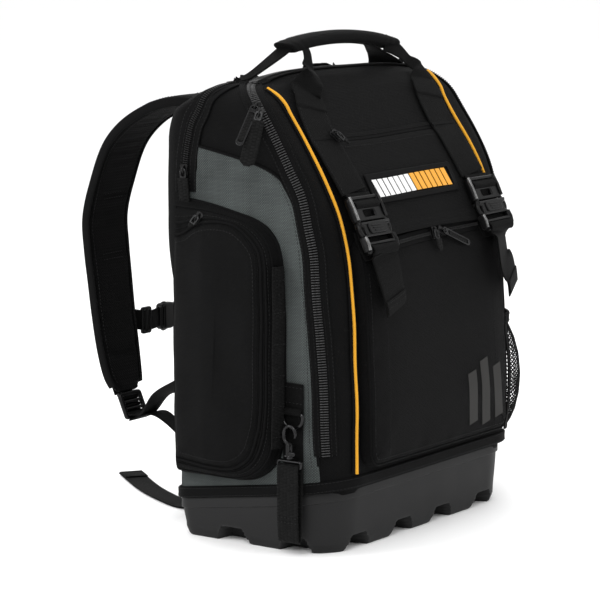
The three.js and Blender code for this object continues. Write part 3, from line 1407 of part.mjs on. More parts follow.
place("daisy_webbing", daisyWebbing(), WEBBING);
place("mesh_pocket", netPocket(), NETTING);
place("mesh_pocket_hem_front", netHem(0, HEM_SPLIT - 0.001), WEBBING);
place("mesh_pocket_hem_side", netHem(HEM_SPLIT + 0.001, 1), WEBBING);
place("handle_grip", handleGrip(), WEBBING);
const padInner = BACK_PAD_SPACE / 2;
const padOuter = padInner + BACK_PAD_WIDTH;
const lumbarBottom = RIM_BACK + 2 * TRIM_HEIGHT;
const padBottom = lumbarBottom + LUMBAR_HEIGHT + TRIM_HEIGHT;
const padTop = BODY_HEIGHT - 1.25 * BACK_ROUND;
for (const [name, side] of [["left", -1], ["right", 1]]) {
  const [from, to] = side < 0 ? [-padOuter, -padInner] : [padInner, padOuter];
  place(`back_pad_${name}`, backPad(from, to, padBottom, padTop), FABRIC);
  place(`shoulder_pad_${name}`, shoulderPad(side), FABRIC);
  place(`ladder_lock_${name}`, ladderLock(side), NYLON);
  place(`anchor_webbing_${name}`, anchorWebbing(side), WEBBING);
  place(`sternum_webbing_${name}`, sternumWebbing(side), WEBBING);
  place(`handle_rear_${name}`, rearLeg(side), WEBBING);
  place(`handle_front_${name}`, frontLeg(side), WEBBING);
}
place("strap_tail_left", strapTail(-1, LEFT_TAIL_ROUTE), WEBBING);
place("strap_tail_right", strapTail(1, RIGHT_TAIL_ROUTE), WEBBING);
const lumbarPad = backPad(-padOuter, padOuter, lumbarBottom, lumbarBottom + LUMBAR_HEIGHT);
place("back_pad_lumbar", lumbarPad, FABRIC);
place("sternum_buckle", sternumBuckle(), NYLON);
place("ring_tab", ringTab(), WEBBING);
place("d_ring", dRing(), STEEL);
place("snap_hook", snapHook(), STEEL);
place("snap_gate", snapGate(), STEEL);
place("key_loop", keyLoop(), WEBBING);

export default backpack;
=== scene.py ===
import math

import bpy
import numpy as np
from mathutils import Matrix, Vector


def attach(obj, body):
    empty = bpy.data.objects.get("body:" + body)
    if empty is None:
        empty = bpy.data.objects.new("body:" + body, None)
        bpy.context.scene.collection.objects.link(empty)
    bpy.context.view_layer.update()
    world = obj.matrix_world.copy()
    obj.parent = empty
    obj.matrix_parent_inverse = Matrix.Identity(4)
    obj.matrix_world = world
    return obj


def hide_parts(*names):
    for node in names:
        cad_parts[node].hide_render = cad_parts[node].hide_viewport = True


# Tool backpack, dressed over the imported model. Sizes here are millimetres, as in the model's
# source; make() turns them into metres. +X is to the right seen from the front, -Y the front.
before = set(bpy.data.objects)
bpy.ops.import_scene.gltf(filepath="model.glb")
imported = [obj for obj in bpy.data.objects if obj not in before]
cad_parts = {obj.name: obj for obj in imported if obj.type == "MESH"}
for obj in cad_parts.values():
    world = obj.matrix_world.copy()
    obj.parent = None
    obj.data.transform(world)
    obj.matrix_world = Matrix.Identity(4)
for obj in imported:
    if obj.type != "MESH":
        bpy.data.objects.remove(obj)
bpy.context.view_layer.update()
scene = bpy.context.scene
SIDES = ((-1, "left"), (1, "right"))
ALONG_X, UPWARDS = np.array([1.0, 0, 0]), np.array([0, 0, 1.0])
FRONTWARDS, BACKWARDS, LEFTWARDS = (0, -1, 0), (0, 1, 0), (-1, 0, 0)


# Camera, light and floor

def look_from(azimuth, elevation, lens, distance, target):
    turn, tilt = math.radians(azimuth), math.radians(elevation)
    back = Vector((math.sin(turn) * math.cos(tilt), -math.cos(turn) * math.cos(tilt), math.sin(tilt)))
    lens_data = bpy.data.cameras.new("camera")
    lens_data.sensor_width = 36
    lens_data.sensor_fit = "HORIZONTAL"
    lens_data.lens = lens
    lens_data.clip_end = 80
    camera = bpy.data.objects.new("camera", lens_data)
    camera.location = (Vector(target) + distance * back) / 1000
    camera.rotation_euler = back.to_track_quat("Z", "Y").to_euler()
    scene.collection.objects.link(camera)
    scene.camera = camera


def softbox(name, place, aim_height, size, power):
    data = bpy.data.lights.new(name, "AREA")
    data.shape = "RECTANGLE"
    data.size, data.size_y = size
    data.energy = power
    light = bpy.data.objects.new(name, data)
    light.location = place
    light.rotation_euler = (Vector(place) - Vector((0, 0, aim_height))).to_track_quat("Z", "Y").to_euler()
    scene.collection.objects.link(light)


look_from(-54.6, 8.8, 169.2, 2958, (-93.5, 0, 248.3))
softbox("key", (-2.6, -1.0, 2.35), 0.2, (1.6, 1.6), 60)
softbox("front", (1.4, -2.8, 1.5), 0.3, (1.4, 1.8), 18)
softbox("top", (0.2, 0.5, 2.8), 0.3, (2.2, 1.6), 30)
softbox("rear_left", (-2.4, 1.7, 1.4), 0.3, (0.9, 1.8), 34)
world = bpy.data.worlds.new("pale_studio")
world.use_nodes = True
sky = world.node_tree.nodes["Background"].inputs
sky["Color"].default_value = (1, 1, 1, 1)
sky["Strength"].default_value = 1.05
scene.world = world
scene.view_settings.view_transform = "Standard"
scene.view_settings.look = "None"


# The body's surface, by the same numbers as the model's source

WIDTH, DEPTH, HEIGHT = 364, 200, 477
CROWN, SIDE_ROUND, BACK_ROUND = 9, 30, 60
FRONT_CORNER, BACK_CORNER, BACK_SWELL = 44, 20, 15.5
RIM_FRONT, RIM_BACK = 68, 39
GAP = 0.3
# height, front and corner as shares of HEIGHT, DEPTH and FRONT_CORNER
FRONT_PROFILE = np.array([
    (0.0, -0.5, 1.22), (0.084, -0.5175, 1.2), (0.157, -0.5225, 1.15), (0.273, -0.517, 1.0),
    (0.377, -0.5085, 1.0), (0.482, -0.493, 1.0), (0.587, -0.4785, 0.86), (0.671, -0.4415, 0.72),
    (0.734, -0.402, 0.64), (0.797, -0.3425, 0.58), (0.86, -0.26, 0.55), (0.918, -0.1645, 0.55),
    (0.96, -0.088, 0.55), (0.979, -0.038, 0.55), (0.992, 0.01, 0.55), (1.0, 0.08, 0.55),
])


def smooth_value(places, values, at):
    """The value of a table's column at a place along another, on a smooth curve."""
    places, values = np.asarray(places, float), np.asarray(values, float)
    t = np.clip(at, places[0], places[-1])
    i = np.clip(np.searchsorted(places, t, side="right") - 1, 0, len(places) - 2)
    before, after = np.maximum(i - 1, 0), np.minimum(i + 2, len(places) - 1)
    width = places[i + 1] - places[i]
    slope_a = (values[i + 1] - values[before]) / (places[i + 1] - places[before]) * width
    slope_b = (values[after] - values[i]) / (places[after] - places[i]) * width
    u = (t - places[i]) / width
    rise = values[i + 1] - values[i]
    bend, twist = 3 * rise - 2 * slope_a - slope_b, slope_a + slope_b - 2 * rise
    return values[i] + u * (slope_a + u * (bend + u * twist))


def ease(t):
    t = np.clip(t, 0, 1)
    return t * t * (3 - 2 * t)


def bell(distance, wide):
    """1 at no distance, fading to almost 0 at twice a width."""
    return np.exp(-((distance / wide) ** 2))


def section(z):
    """The body's level section at heights z: half width, front, back and corner radii."""
    height = np.clip(z, 0, HEIGHT)
    share = height / HEIGHT
    front = DEPTH * smooth_value(FRONT_PROFILE[:, 0], FRONT_PROFILE[:, 1], share)
    above_back = np.maximum(0, height - HEIGHT + BACK_ROUND)
    back = DEPTH / 2 - BACK_ROUND + np.sqrt(np.maximum(0, BACK_ROUND**2 - above_back**2))
    back = back + BACK_SWELL * ease((height - 195) / 140) * ease((HEIGHT + 2 - height) / 34)
    above_side = np.maximum(0, height - HEIGHT + SIDE_ROUND)
    half = WIDTH / 2 - SIDE_ROUND + np.sqrt(np.maximum(0, SIDE_ROUND**2 - above_side**2))
    depth = back - front
    corner = FRONT_CORNER * smooth_value(FRONT_PROFILE[:, 0], FRONT_PROFILE[:, 2], share)
    return half, front, back, np.minimum(corner, 0.55 * depth), np.minimum(BACK_CORNER, 0.3 * depth)


def crown(x, z, y=0.0):
    across = 1 - np.minimum(np.abs(x) / (WIDTH * 0.41), 1) ** 2
    return CROWN * across * np.maximum(z / HEIGHT, 0) ** 8 * (1 - 0.85 * ease((np.asarray(y) - 8) / 60))


def body_field(p):
    """Distance outside the body's surface."""
    x, y = p[..., 0], p[..., 1]
    z = p[..., 2] - crown(x, np.minimum(p[..., 2], HEIGHT), y)
    half, front, back, front_corner, back_corner = section(z)
    is_front = y < (front + back) / 2
    radius = np.where(is_front, front_corner, back_corner)
    qx = np.abs(x) - (half - radius)
    qy = np.where(is_front, front + radius - y, y - (back - radius))
    outside = np.hypot(np.maximum(qx, 0), np.maximum(qy, 0))
    return np.maximum(np.minimum(np.maximum(qx, qy), 0) + outside - radius, z - HEIGHT)


def body_slope(p):
    steps = np.eye(3) * 0.5
    return np.stack([body_field(p + s) - body_field(p - s) for s in steps], axis=-1)


def unit(v):
    return v / np.maximum(np.linalg.norm(v, axis=-1, keepdims=True), 1e-9)


def at_xyz(x, y, z):
    """Points from their coordinates, each a number or a row of numbers."""
    return np.stack(np.broadcast_arrays(x, y, z), -1)


def drape(p, lift):
    """The nearest places on the body's surface, lifted off it."""
    q = np.array(p, float)
    for _ in range(10):
        slope = body_slope(q)
        square = np.maximum((slope**2).sum(-1), 0.2)
        q -= slope * ((body_field(q) - lift) / square)[..., None]
    return q


def front_y(x, z):
    half, front, _, corner, _ = section(z - crown(x, z))
    past = np.maximum(np.abs(x) - (half - corner), 0)
    return front + corner - np.sqrt(np.maximum(corner**2 - past**2, 0))


def side_x(y, z):
    half, front, back, front_corner, back_corner = section(z)
    is_front = y < (front + back) / 2
    radius = np.where(is_front, front_corner, back_corner)
    past = np.maximum(np.where(is_front, front + radius - y, y - (back - radius)), 0)
    return half - radius + np.sqrt(np.maximum(radius**2 - past**2, 0))


def half_girth(z):
    half, front, back, front_corner, back_corner = section(z)
    return 2 * half - (front_corner + back_corner) * (2 - math.pi / 2) + back - front


def round_body(z, distance, lift=0.0):
    """A place on the level section at z, by its distance round from the middle of the front."""
    z, distance = np.broadcast_arrays(np.asarray(z, float), np.asarray(distance, float))
    half, front, back, fc, bc = section(z)
    left = np.abs(distance)
    sign = np.where(distance < 0, -1.0, 1.0)
    runs = [half - fc, fc * math.pi / 2, back - bc - front - fc, bc * math.pi / 2, half - bc]
    ends = np.cumsum(np.stack(runs), axis=0)
    t = left - np.concatenate([np.zeros((1,) + left.shape), ends[:-1]])
    a, b = t[1] / np.maximum(fc, 1e-6), t[3] / np.maximum(bc, 1e-6)
    zero, one = np.zeros_like(left), np.ones_like(left)
    choices = [
        (t[0], front, zero, -one),
        (half - fc + fc * np.sin(a), front + fc - fc * np.cos(a), np.sin(a), -np.cos(a)),
        (half, front + fc + t[2], one, zero),
        (half - bc + bc * np.cos(b), back - bc + bc * np.sin(b), np.cos(b), np.sin(b)),
        (half - bc - t[4], back, zero, one),
    ]
    leg = np.minimum((left[None] > ends).sum(0), 4)
    x, y, nx, ny = (np.choose(leg, [c[k] for c in choices]) for k in range(4))
    return np.stack([sign * (x + nx * lift), y + ny * lift, z + crown(x, z, y)], axis=-1)


def rim_height(y):
    return RIM_FRONT + (RIM_BACK - RIM_FRONT) * (y / DEPTH + 0.5)


# Softness: one gentle uneven swell that everything sewn to the body shares

dice = np.random.default_rng(7)
WAVES = [
    (unit(dice.normal(size=3)) * 2 * math.pi / length, dice.uniform(0, 6.28), unit(dice.normal(size=3)) * size)
    for length, size in ((230, 0.9), (170, 0.8), (130, 0.6), (100, 0.5), (80, 0.4), (62, 0.3), (48, 0.22))
]


def soften(p):
    fade = ease((p[..., 2] - rim_height(p[..., 1]) - 4) / 60)[..., None]
    shift = sum(np.sin(p @ wave + phase)[..., None] * size for wave, phase, size in WAVES)
    return p + fade * shift


# Shapes: (points in millimetres, faces, uv in metres)

def signed_volume(points, faces):
    total = 0.0
    for face in faces:
        a = points[face[0]]
        for k in range(1, len(face) - 1):
            total += np.dot(a, np.cross(points[face[k]], points[face[k + 1]]))
    return total


def outward(points, faces, uv=None):
    if signed_volume(points, faces) < 0:
        faces = [tuple(reversed(f)) for f in faces]
    return points, faces, uv


def loft(rings, uv=None, hoop=False):
    """Closed shape through rings of points. A hoop joins its last ring to its first."""
    rows, cols = rings.shape[:2]
    i = np.arange(rows if hoop else rows - 1)[:, None]
    j = np.arange(cols)[None, :]
    next_i, next_j = (i + 1) % rows, (j + 1) % cols
    quads = np.stack([i * cols + j, i * cols + next_j, next_i * cols + next_j, next_i * cols + j], -1)
    faces = [tuple(face) for face in quads.reshape(-1, 4).tolist()]
    if not hoop:
        faces.append(tuple(range(cols)))
        faces.append(tuple((rows - 1) * cols + k for k in reversed(range(cols))))
    return outward(rings.reshape(-1, 3), faces, None if uv is None else uv.reshape(-1, 2) / 1000)


def slab(top, low, uv):
    """Closed shape between two grids of points with the same rows and columns."""
    rows, cols = top.shape[:2]
    count = rows * cols
    index = np.arange(count).reshape(rows, cols)
    quads = np.stack([index[:-1, :-1], index[1:, :-1], index[1:, 1:], index[:-1, 1:]], -1).reshape(-1, 4)
    faces = [tuple(f) for f in quads.tolist() + (quads + count)[:, ::-1].tolist()]
    edge = np.concatenate([index[0, :-1], index[:-1, -1], index[-1, :0:-1], index[:0:-1, 0]]).tolist()
    for a, b in zip(edge, edge[1:] + edge[:1]):
        faces.append((a, b, b + count, a + count))
    points = np.concatenate([top.reshape(-1, 3), low.reshape(-1, 3)])
    return outward(points, faces, np.concatenate([uv.reshape(-1, 2)] * 2) / 1000)


def spaced(length, step, edge):
    """Places from 0 to a length, close together near both ends."""
    near = edge * np.array([0, 0.1, 0.3, 0.62])
    count = max(2, int(round((length - 2 * edge) / step)) + 1)
    return np.concatenate([near, np.linspace(edge, length - edge, count), length - near[::-1]])


def laid(at, size, thick, step):
    """Cloth that lies on another surface, with rounded edges: at(u, v, lift) gives its places."""
    edge = 1.2 * thick
    u, v = np.meshgrid(spaced(size[0], step, edge), spaced(size[1], step, edge), indexing="ij")
    border = np.minimum(np.minimum(u, size[0] - u), np.minimum(v, size[1] - v))
    rise = np.sqrt(np.maximum(0, 1 - (1 - np.clip(border / edge, 0, 1)) ** 2))
    top = at(u, v, thick * (0.08 + 0.92 * rise))
    return slab(top, at(u, v, 0 * u), np.stack([u - size[0] / 2, v], -1))


def run_length(path):
    """How far along a path each of its points is."""
    return np.concatenate([[0], np.cumsum(np.linalg.norm(np.diff(path, axis=0), axis=1))])


def evenly(path, count=None, step=None):
    """Places at equal spaces along a path."""
    run = run_length(path)
    count = count or max(3, int(round(run[-1] / step)) + 1)
    at = np.linspace(0, run[-1], count)
    return np.stack([np.interp(at, run, path[:, k]) for k in range(path.shape[1])], -1)


def curve_through(points, count=None, step=None):
    """Evenly spaced places on a smooth curve through points."""
    points = np.asarray(points, float)
    chord = np.sqrt(np.linalg.norm(np.diff(points, axis=0), axis=1))
    at = np.concatenate([[0], np.cumsum(chord)])
    fine = np.linspace(0, at[-1], 60 * len(points))
    dense = np.stack([smooth_value(at, points[:, k], fine) for k in range(points.shape[1])], -1)
    return evenly(dense, count, step)


def looped(row):
    """A row of points that ends where it began."""
    return np.concatenate([row, row[:1]])


def direction(path, hoop=False):
    """Unit direction along a path at each of its points."""
    return unit(np.roll(path, -1, axis=0) - np.roll(path, 1, axis=0) if hoop else np.gradient(path, axis=0))


def each(value, path):
    """A number, or a row of numbers, as one column beside a path's points."""
    return np.broadcast_to(np.asarray(value, float), len(path))[:, None]


def ribbon(path, up, width, thick, cols, lift=0.0, hoop=False):
    """Webbing along a path of its inner face's middle, with rounded edges."""
    tangent = direction(path, hoop)
    across = unit(np.cross(tangent, np.broadcast_to(np.asarray(up, float), path.shape)))
    up = unit(np.cross(across, tangent))
    half, thick = each(width, path) / 2, each(thick, path)
    turn = np.radians([60, 25, 0, -25, -60])
    flat, ones = np.linspace(1, -1, cols), np.ones(cols)
    lip_out, lip_up = np.cos(turn), np.sin(turn)
    share = np.concatenate([-flat, np.ones(5), flat, -np.ones(5)])
    lip = np.concatenate([0 * ones, lip_out, 0 * ones, -lip_out[::-1]])
    level = np.concatenate([ones, lip_up, -ones, lip_up[::-1]])
    a = share * (half - thick / 2) + lip * thick / 2
    b = thick / 2 * (1 + level) + lift
    rings = path[:, None] + across[:, None] * a[..., None] + up[:, None] * b[..., None]
    return loft(rings, np.stack(np.broadcast_arrays(a, run_length(path)[:, None]), -1), hoop=hoop)


def cordlike(path, radius, sides):
    """Round cord along a path."""
    tangent = direction(path)
    normal = np.zeros_like(path)
    start = np.eye(3)[np.argmin(np.abs(tangent[0]))]
    for i, along in enumerate(tangent):
        start = start - along * np.dot(start, along)
        start = start / np.linalg.norm(start)
        normal[i] = start
    side = np.cross(tangent, normal)
    angle = np.linspace(0, 2 * math.pi, sides, endpoint=False)
    radius = each(radius, path)
    offset = normal[:, None] * np.cos(angle)[None, :, None] + side[:, None] * np.sin(angle)[None, :, None]
    uv = np.stack(np.broadcast_arrays(radius * angle[None], run_length(path)[:, None]), -1)
    return loft(path[:, None] + offset * radius[:, None], uv)


def rounded(width, length, radius, x=0.0, y=0.0):
    """Outline of a rectangle with round corners."""
    corners = [(1, -1, -90), (1, 1, 0), (-1, 1, 90), (-1, -1, 180)]
    angle = np.radians(np.linspace(0, 90, 5))
    return np.concatenate([
        np.stack([
            x + sx * (width / 2 - radius) + radius * np.cos(angle + math.radians(start)),
            y + sy * (length / 2 - radius) + radius * np.sin(angle + math.radians(start)),
        ], -1)
        for sx, sy, start in corners
    ])


def plate(outlines, thick, bevel):
    """Plate with softened edges from a flat outline and its holes, from z 0 to its thickness."""
    curve = bpy.data.curves.new("plate", "CURVE")
    curve.dimensions = "2D"
    curve.fill_mode = "BOTH"
    curve.extrude = thick / 2 - bevel
    curve.bevel_depth = bevel
    curve.bevel_resolution = 1
    curve.offset = -bevel
    for outline in outlines:
        spline = curve.splines.new("POLY")
        spline.points.add(len(outline) - 1)
        for point, (x, y) in zip(spline.points, outline):
            point.co = (x, y, 0, 1)
        spline.use_cyclic_u = True
    holder = bpy.data.objects.new("plate", curve)
    scene.collection.objects.link(holder)
    mesh = bpy.data.meshes.new_from_object(holder.evaluated_get(bpy.context.evaluated_depsgraph_get()))
    points = np.array([v.co for v in mesh.vertices], float)
    faces = [tuple(f.vertices) for f in mesh.polygons]
    bpy.data.objects.remove(holder)
    bpy.data.curves.remove(curve)
    bpy.data.meshes.remove(mesh)
    points[:, 2] += thick / 2
    return points, faces, points[:, :2] / 1000


def placed(shape, origin, x_axis, z_axis):
    """Moves a shape from its own axes to an origin, an x direction and a z direction."""
    z = unit(np.asarray(z_axis, float))
    y = unit(np.cross(z, np.asarray(x_axis, float)))
    x = np.cross(y, z)
    points = shape[0] @ np.stack([x, y, z]) + np.asarray(origin, float)
    return points, shape[1], shape[2]


def shifted(shape, x=0.0, y=0.0, z=0.0):
    return shape[0] + np.array([x, y, z]), shape[1], shape[2]


def cross_bar(half, rise, radius, sides, y, z):
    """Round bar along x, bowed a little, with its middle at y and z."""
    bow = np.array([[-half, 0, 0], [0, 0, rise], [half, 0, 0]], float)
    return shifted(cordlike(bow, radius, sides), y=y, z=z)


def bent(shape, at):
    """Lays a flat shape on a surface: at(x, y, z)."""
    return at(*shape[0].T), shape[1], shape[2]


def merged(shapes):
    points, faces, uvs, start = [], [], [], 0
    for p, f, uv in shapes:
        points.append(p)
        faces += [tuple(i + start for i in face) for face in f]
        uvs.append(np.zeros((len(p), 2)) if uv is None else uv)
        start += len(p)
    return np.concatenate(points), faces, np.concatenate(uvs)


SLOTS, HARD = {}, set()


def edge_share(mesh):
    """How much each point stands on an edge, from how far its faces' normals spread."""
    total, count = np.zeros((len(mesh.vertices), 3)), np.zeros(len(mesh.vertices))
    for face in mesh.polygons:
        for i in face.vertices:
            total[i] += face.normal
            count[i] += 1
    spread = 1 - np.linalg.norm(total, axis=1) / np.maximum(count, 1)
    return np.clip(spread * 7, 0, 1).astype(np.float32)


def enter(name, mesh, nodes, body):
    """Puts a mesh in the scene as one object that rides on a body and stands for CAD nodes."""
    piece = bpy.data.objects.new(name, mesh)
    scene.collection.objects.link(piece)
    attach(piece, body)
    if nodes:
        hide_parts(*([nodes] if isinstance(nodes, str) else nodes))
    return piece


def make(name, shapes, finish, nodes=(), body="bag", soft=True):
    """One object from shapes in millimetres. A soft one shares the body's uneven swell."""
    points, faces, uv = merged(shapes if isinstance(shapes, list) else [shapes])
    mesh = bpy.data.meshes.new(name)
    mesh.from_pydata(((soften(points) if soft else points) / 1000).tolist(), [], faces)
    loops = np.empty(len(mesh.loops), dtype=np.int32)
    mesh.loops.foreach_get("vertex_index", loops)
    mesh.uv_layers.new(name="UVMap").data.foreach_set("uv", uv[loops].astype(np.float32).ravel())
    mesh.materials.append(finish)
    if finish.name in HARD:
        mesh.attributes.new("rim", "FLOAT", "POINT").data.foreach_set("value", edge_share(mesh))
    mesh.shade_smooth()
    mesh.set_sharp_from_angle(angle=math.radians(48))
    return enter(name, mesh, nodes, body)


# Finishes

class Nodes:
    """Lays out the nodes of one tree."""

    def __init__(self, tree, prefix="ShaderNode"):
        self.tree, self.prefix = tree, prefix

    def add(self, kind, *values, into=(), **settings):
        """A node with values, or links, for its first inputs and for the named ones."""
        node = self.tree.nodes.new(kind if "Node" in kind else self.prefix + kind)
        for key, value in settings.items():
            setattr(node, key, value)
        for socket, value in zip(node.inputs, values):
            self.put(socket, value)
        for label, value in dict(into).items():
            self.put(node.inputs[label], value)
        return node

    def put(self, socket, value):
        if isinstance(value, bpy.types.NodeSocket):
            self.tree.links.new(value, socket)
        elif value is not None:
            socket.default_value = value

    def math(self, operation, *values):
        return self.add("ShaderNodeMath", *values, operation=operation).outputs[0]

    def blend(self, factor, a, b):
        return self.add("Mix", factor, None, a, b).outputs[0]

    def tint(self, factor, a, b):
        return self.add("Mix", factor, None, None, None, None, None, a, b, data_type="RGBA").outputs[2]

    def limited(self, value):
        return self.math("MINIMUM", self.math("MAXIMUM", value, 0.0), 1.0)

    def places(self):
        return self.add("TexCoord").outputs["Object"]

    def noise(self, places, scale, detail):
        return self.add("TexNoise", places, into={"Scale": scale, "Detail": detail}).outputs["Fac"]


def new_group(name, inputs, outputs):
    tree = bpy.data.node_groups.new(name, "ShaderNodeTree")
    for label, value in inputs:
        socket = tree.interface.new_socket(name=label, in_out="INPUT", socket_type="NodeSocketFloat")
        socket.default_value = value
    for label in outputs:
        tree.interface.new_socket(name=label, in_out="OUTPUT", socket_type="NodeSocketFloat")
    nodes = Nodes(tree)
    return tree, nodes, nodes.add("NodeGroupInput").outputs, nodes.add("NodeGroupOutput").inputs


def basket_nodes(n, a, b):
    """Height and thread shade of a plain weave from coordinates counted in threads."""
    cell_a, cell_b = n.math("FLOOR", a), n.math("FLOOR", b)
    odd = n.math("FLOORED_MODULO", n.math("ADD", cell_a, cell_b), 2.0)
    wave_a = n.math("SINE", n.math("MULTIPLY", n.math("FRACT", a), math.pi))
    wave_b = n.math("SINE", n.math("MULTIPLY", n.math("FRACT", b), math.pi))
    over_a = n.math("MULTIPLY", wave_a, n.math("MULTIPLY_ADD", wave_b, 0.4, 0.6))
    over_b = n.math("MULTIPLY", wave_b, n.math("MULTIPLY_ADD", wave_a, 0.4, 0.6))
    thread = n.blend(odd, cell_a, n.math("MULTIPLY_ADD", cell_b, 1.37, 71.3))
    shade = n.add("TexWhiteNoise", noise_dimensions="1D", into={"W": thread})
    tone = n.math("MULTIPLY_ADD", shade.outputs["Value"], 0.3, n.math("MULTIPLY", odd, 0.7))
    return n.blend(odd, over_a, over_b), tone


def cloth_weave():
    """Weave on a surface that faces any way: it lies in the plane that the surface faces most."""
    tree, n, given, out = new_group("cloth_weave", [("Thread", 0.001), ("Slant", 0.0)], ["Height", "Shade"])
    threads = n.math("DIVIDE", 1.0, given["Thread"])
    scaled = n.add("VectorMath", n.places(), operation="SCALE", into={"Scale": threads})
    x, y, z = n.add("SeparateXYZ", scaled.outputs[0]).outputs
    facing = n.add("VectorMath", n.add("NewGeometry").outputs["Normal"], operation="ABSOLUTE").outputs[0]
    nx, ny, nz = n.add("SeparateXYZ", facing).outputs
    sideways = n.math("MULTIPLY", n.math("GREATER_THAN", nx, ny), n.math("GREATER_THAN", nx, nz))
    upwards = n.math("GREATER_THAN", nz, n.math("MAXIMUM", nx, ny))
    a, b = n.blend(sideways, x, y), n.blend(upwards, z, y)
    across = n.math("MULTIPLY", n.math("ADD", a, b), 0.7071)
    along = n.math("MULTIPLY", n.math("SUBTRACT", a, b), 0.7071)
    height, shade = basket_nodes(n, n.blend(given["Slant"], a, across), n.blend(given["Slant"], b, along))
    n.put(out["Height"], height)
    n.put(out["Shade"], shade)
    return tree


def webbing_weave():
    """Ribs across a strap and fine columns along it, on its own UV map in metres."""
    tree, n, given, out = new_group("webbing_weave", [("Rib", 0.0022), ("Column", 0.0018)], ["Height", "Shade"])
    u, v, _ = n.add("SeparateXYZ", n.add("UVMap").outputs[0]).outputs
    a = n.math("DIVIDE", u, given["Column"])
    column = n.math("FLOOR", a)
    b = n.math("MULTIPLY_ADD", n.math("FLOORED_MODULO", column, 2.0), 0.5, n.math("DIVIDE", v, given["Rib"]))
    wave_a = n.math("ABSOLUTE", n.math("SINE", n.math("MULTIPLY", a, math.pi)))
    wave_b = n.math("ABSOLUTE", n.math("SINE", n.math("MULTIPLY", b, math.pi)))
    ridge = n.math("MULTIPLY_ADD", n.math("POWER", wave_a, 0.5), 0.6, 0.4)
    shade = n.add("TexWhiteNoise", n.add("CombineXYZ", column, n.math("FLOOR", b), 0.0).outputs[0])
    n.put(out["Height"], n.math("MULTIPLY", n.math("POWER", wave_b, 0.6), ridge))
    n.put(out["Shade"], shade.outputs["Value"])
    return tree


def use_and_dust():
    """Slow changes of tone, fine specks and sparse lint, from use."""
    tree, n, given, out = new_group("use_and_dust", [("Patch size", 0.05)], ["Cloud", "Speck", "Lint"])
    places = n.places()
    n.put(out["Cloud"], n.noise(places, n.math("DIVIDE", 1.0, given["Patch size"]), 5))
    n.put(out["Speck"], n.noise(places, 700, 2))
    n.put(out["Lint"], n.limited(n.math("MULTIPLY", n.math("SUBTRACT", n.noise(places, 260, 3), 0.66), 8.0)))
    return tree


def rim_wear_and_highlight():
    """Lighter edges from the piece's own rim attribute, broken up by noise: worn edges on most pieces, a painted
    highlight on the left buckle rails.
    """
    tree, n, given, out = new_group("rim_wear_and_highlight", [("Amount", 0.5)], ["Wear"])
    rim = n.add("Attribute", attribute_name="rim").outputs["Fac"]
    worn = n.math("MULTIPLY", rim, n.math("MULTIPLY_ADD", n.noise(n.places(), 120, 4), 1.6, -0.25))
    n.put(out["Wear"], n.limited(n.math("MULTIPLY", worn, given["Amount"])))
    return tree


CLOTH_WEAVE, WEBBING_WEAVE, USE, RIM = cloth_weave(), webbing_weave(), use_and_dust(), rim_wear_and_highlight()


DUST = (0.09, 0.088, 0.085, 1)


def start_finish(name, slot, specular, sheen=0.0):
    SLOTS[name] = slot
    finish = bpy.data.materials.new(name)
    finish.use_nodes = True
    shader = finish.node_tree.nodes["Principled BSDF"]
    shader.inputs["Specular IOR Level"].default_value = specular
    shader.inputs["Sheen Weight"].default_value = sheen
    return finish, Nodes(finish.node_tree), shader


def group(n, tree, *values):
    return list(n.add("Group", *values, node_tree=tree).outputs)


def relief(n, shader, height, depth):
    bump = n.add("Bump", into={"Strength": 0.7, "Distance": depth, "Height": height})
    n.put(shader.inputs["Normal"], bump.outputs[0])


def tones(color, spread):
    return tuple(c * (1 - spread) for c in color) + (1,), tuple(c * (1 + spread) for c in color) + (1,)


def woven(name, slot, weave, threads, color, spread, rough, depth, sheen, lint=0.05):
    """Cloth or webbing from one of the weave groups."""
    finish, n, shader = start_finish(name, slot, 0.05, sheen)
    height, shade = group(n, weave, *threads)[:2]
    cloud, speck, fluff = group(n, USE, 0.05)[:3]
    mixed = n.math("MULTIPLY_ADD", shade, 0.45, n.math("MULTIPLY_ADD", cloud, 0.7, -0.1))
    # Colour scaled by the weave's relief height: painted shade in the hollows between threads and lighter crowns.
    # The thread tone and cloud are the cloth's own.
    body = n.tint(n.math("MULTIPLY", mixed, n.math("MULTIPLY_ADD", height, 0.9, 0.3)), *tones(color, spread))
    n.put(shader.inputs["Base Color"], n.tint(n.math("MULTIPLY", fluff, lint), body, DUST))
    n.put(shader.inputs["Roughness"], n.math("MULTIPLY_ADD", speck, 0.18, rough - 0.09))
    relief(n, shader, n.math("MULTIPLY_ADD", speck, 0.25, height), depth)
    return finish


def moulded(name, slot, color, spread, rough, grain, depth, wear_and_highlight, worn_and_highlight_color, specular=0.45, metal=0.0):
    """Moulded plastic, rubber or plated metal with a fine grain and lighter edges: worn on most pieces, a painted
    highlight on the left buckle rails.
    """
    finish, n, shader = start_finish(name, slot, specular)
    HARD.add(name)
    cloud, speck, fluff = group(n, USE, 0.035)[:3]
    rubbed_and_highlight = group(n, RIM, wear_and_highlight)[0]
    body = n.tint(n.math("MULTIPLY_ADD", cloud, 0.8, n.math("MULTIPLY", speck, 0.2)), *tones(color, spread))
    dusty = n.tint(n.math("MULTIPLY", fluff, 0.03), body, DUST)
    smoother = n.math("MULTIPLY_ADD", cloud, 0.16, rough - 0.08)
    # Lighter rim colour: worn edges, and on the left buckle rails a painted highlight.
    n.put(shader.inputs["Base Color"], n.tint(rubbed_and_highlight, dusty, worn_and_highlight_color + (1,)))
    n.put(shader.inputs["Roughness"], n.math("MULTIPLY_ADD", rubbed_and_highlight, -0.12, smoother))
    shader.inputs["Metallic"].default_value = metal
    relief(n, shader, n.noise(n.places(), grain, 3), depth)
    return finish
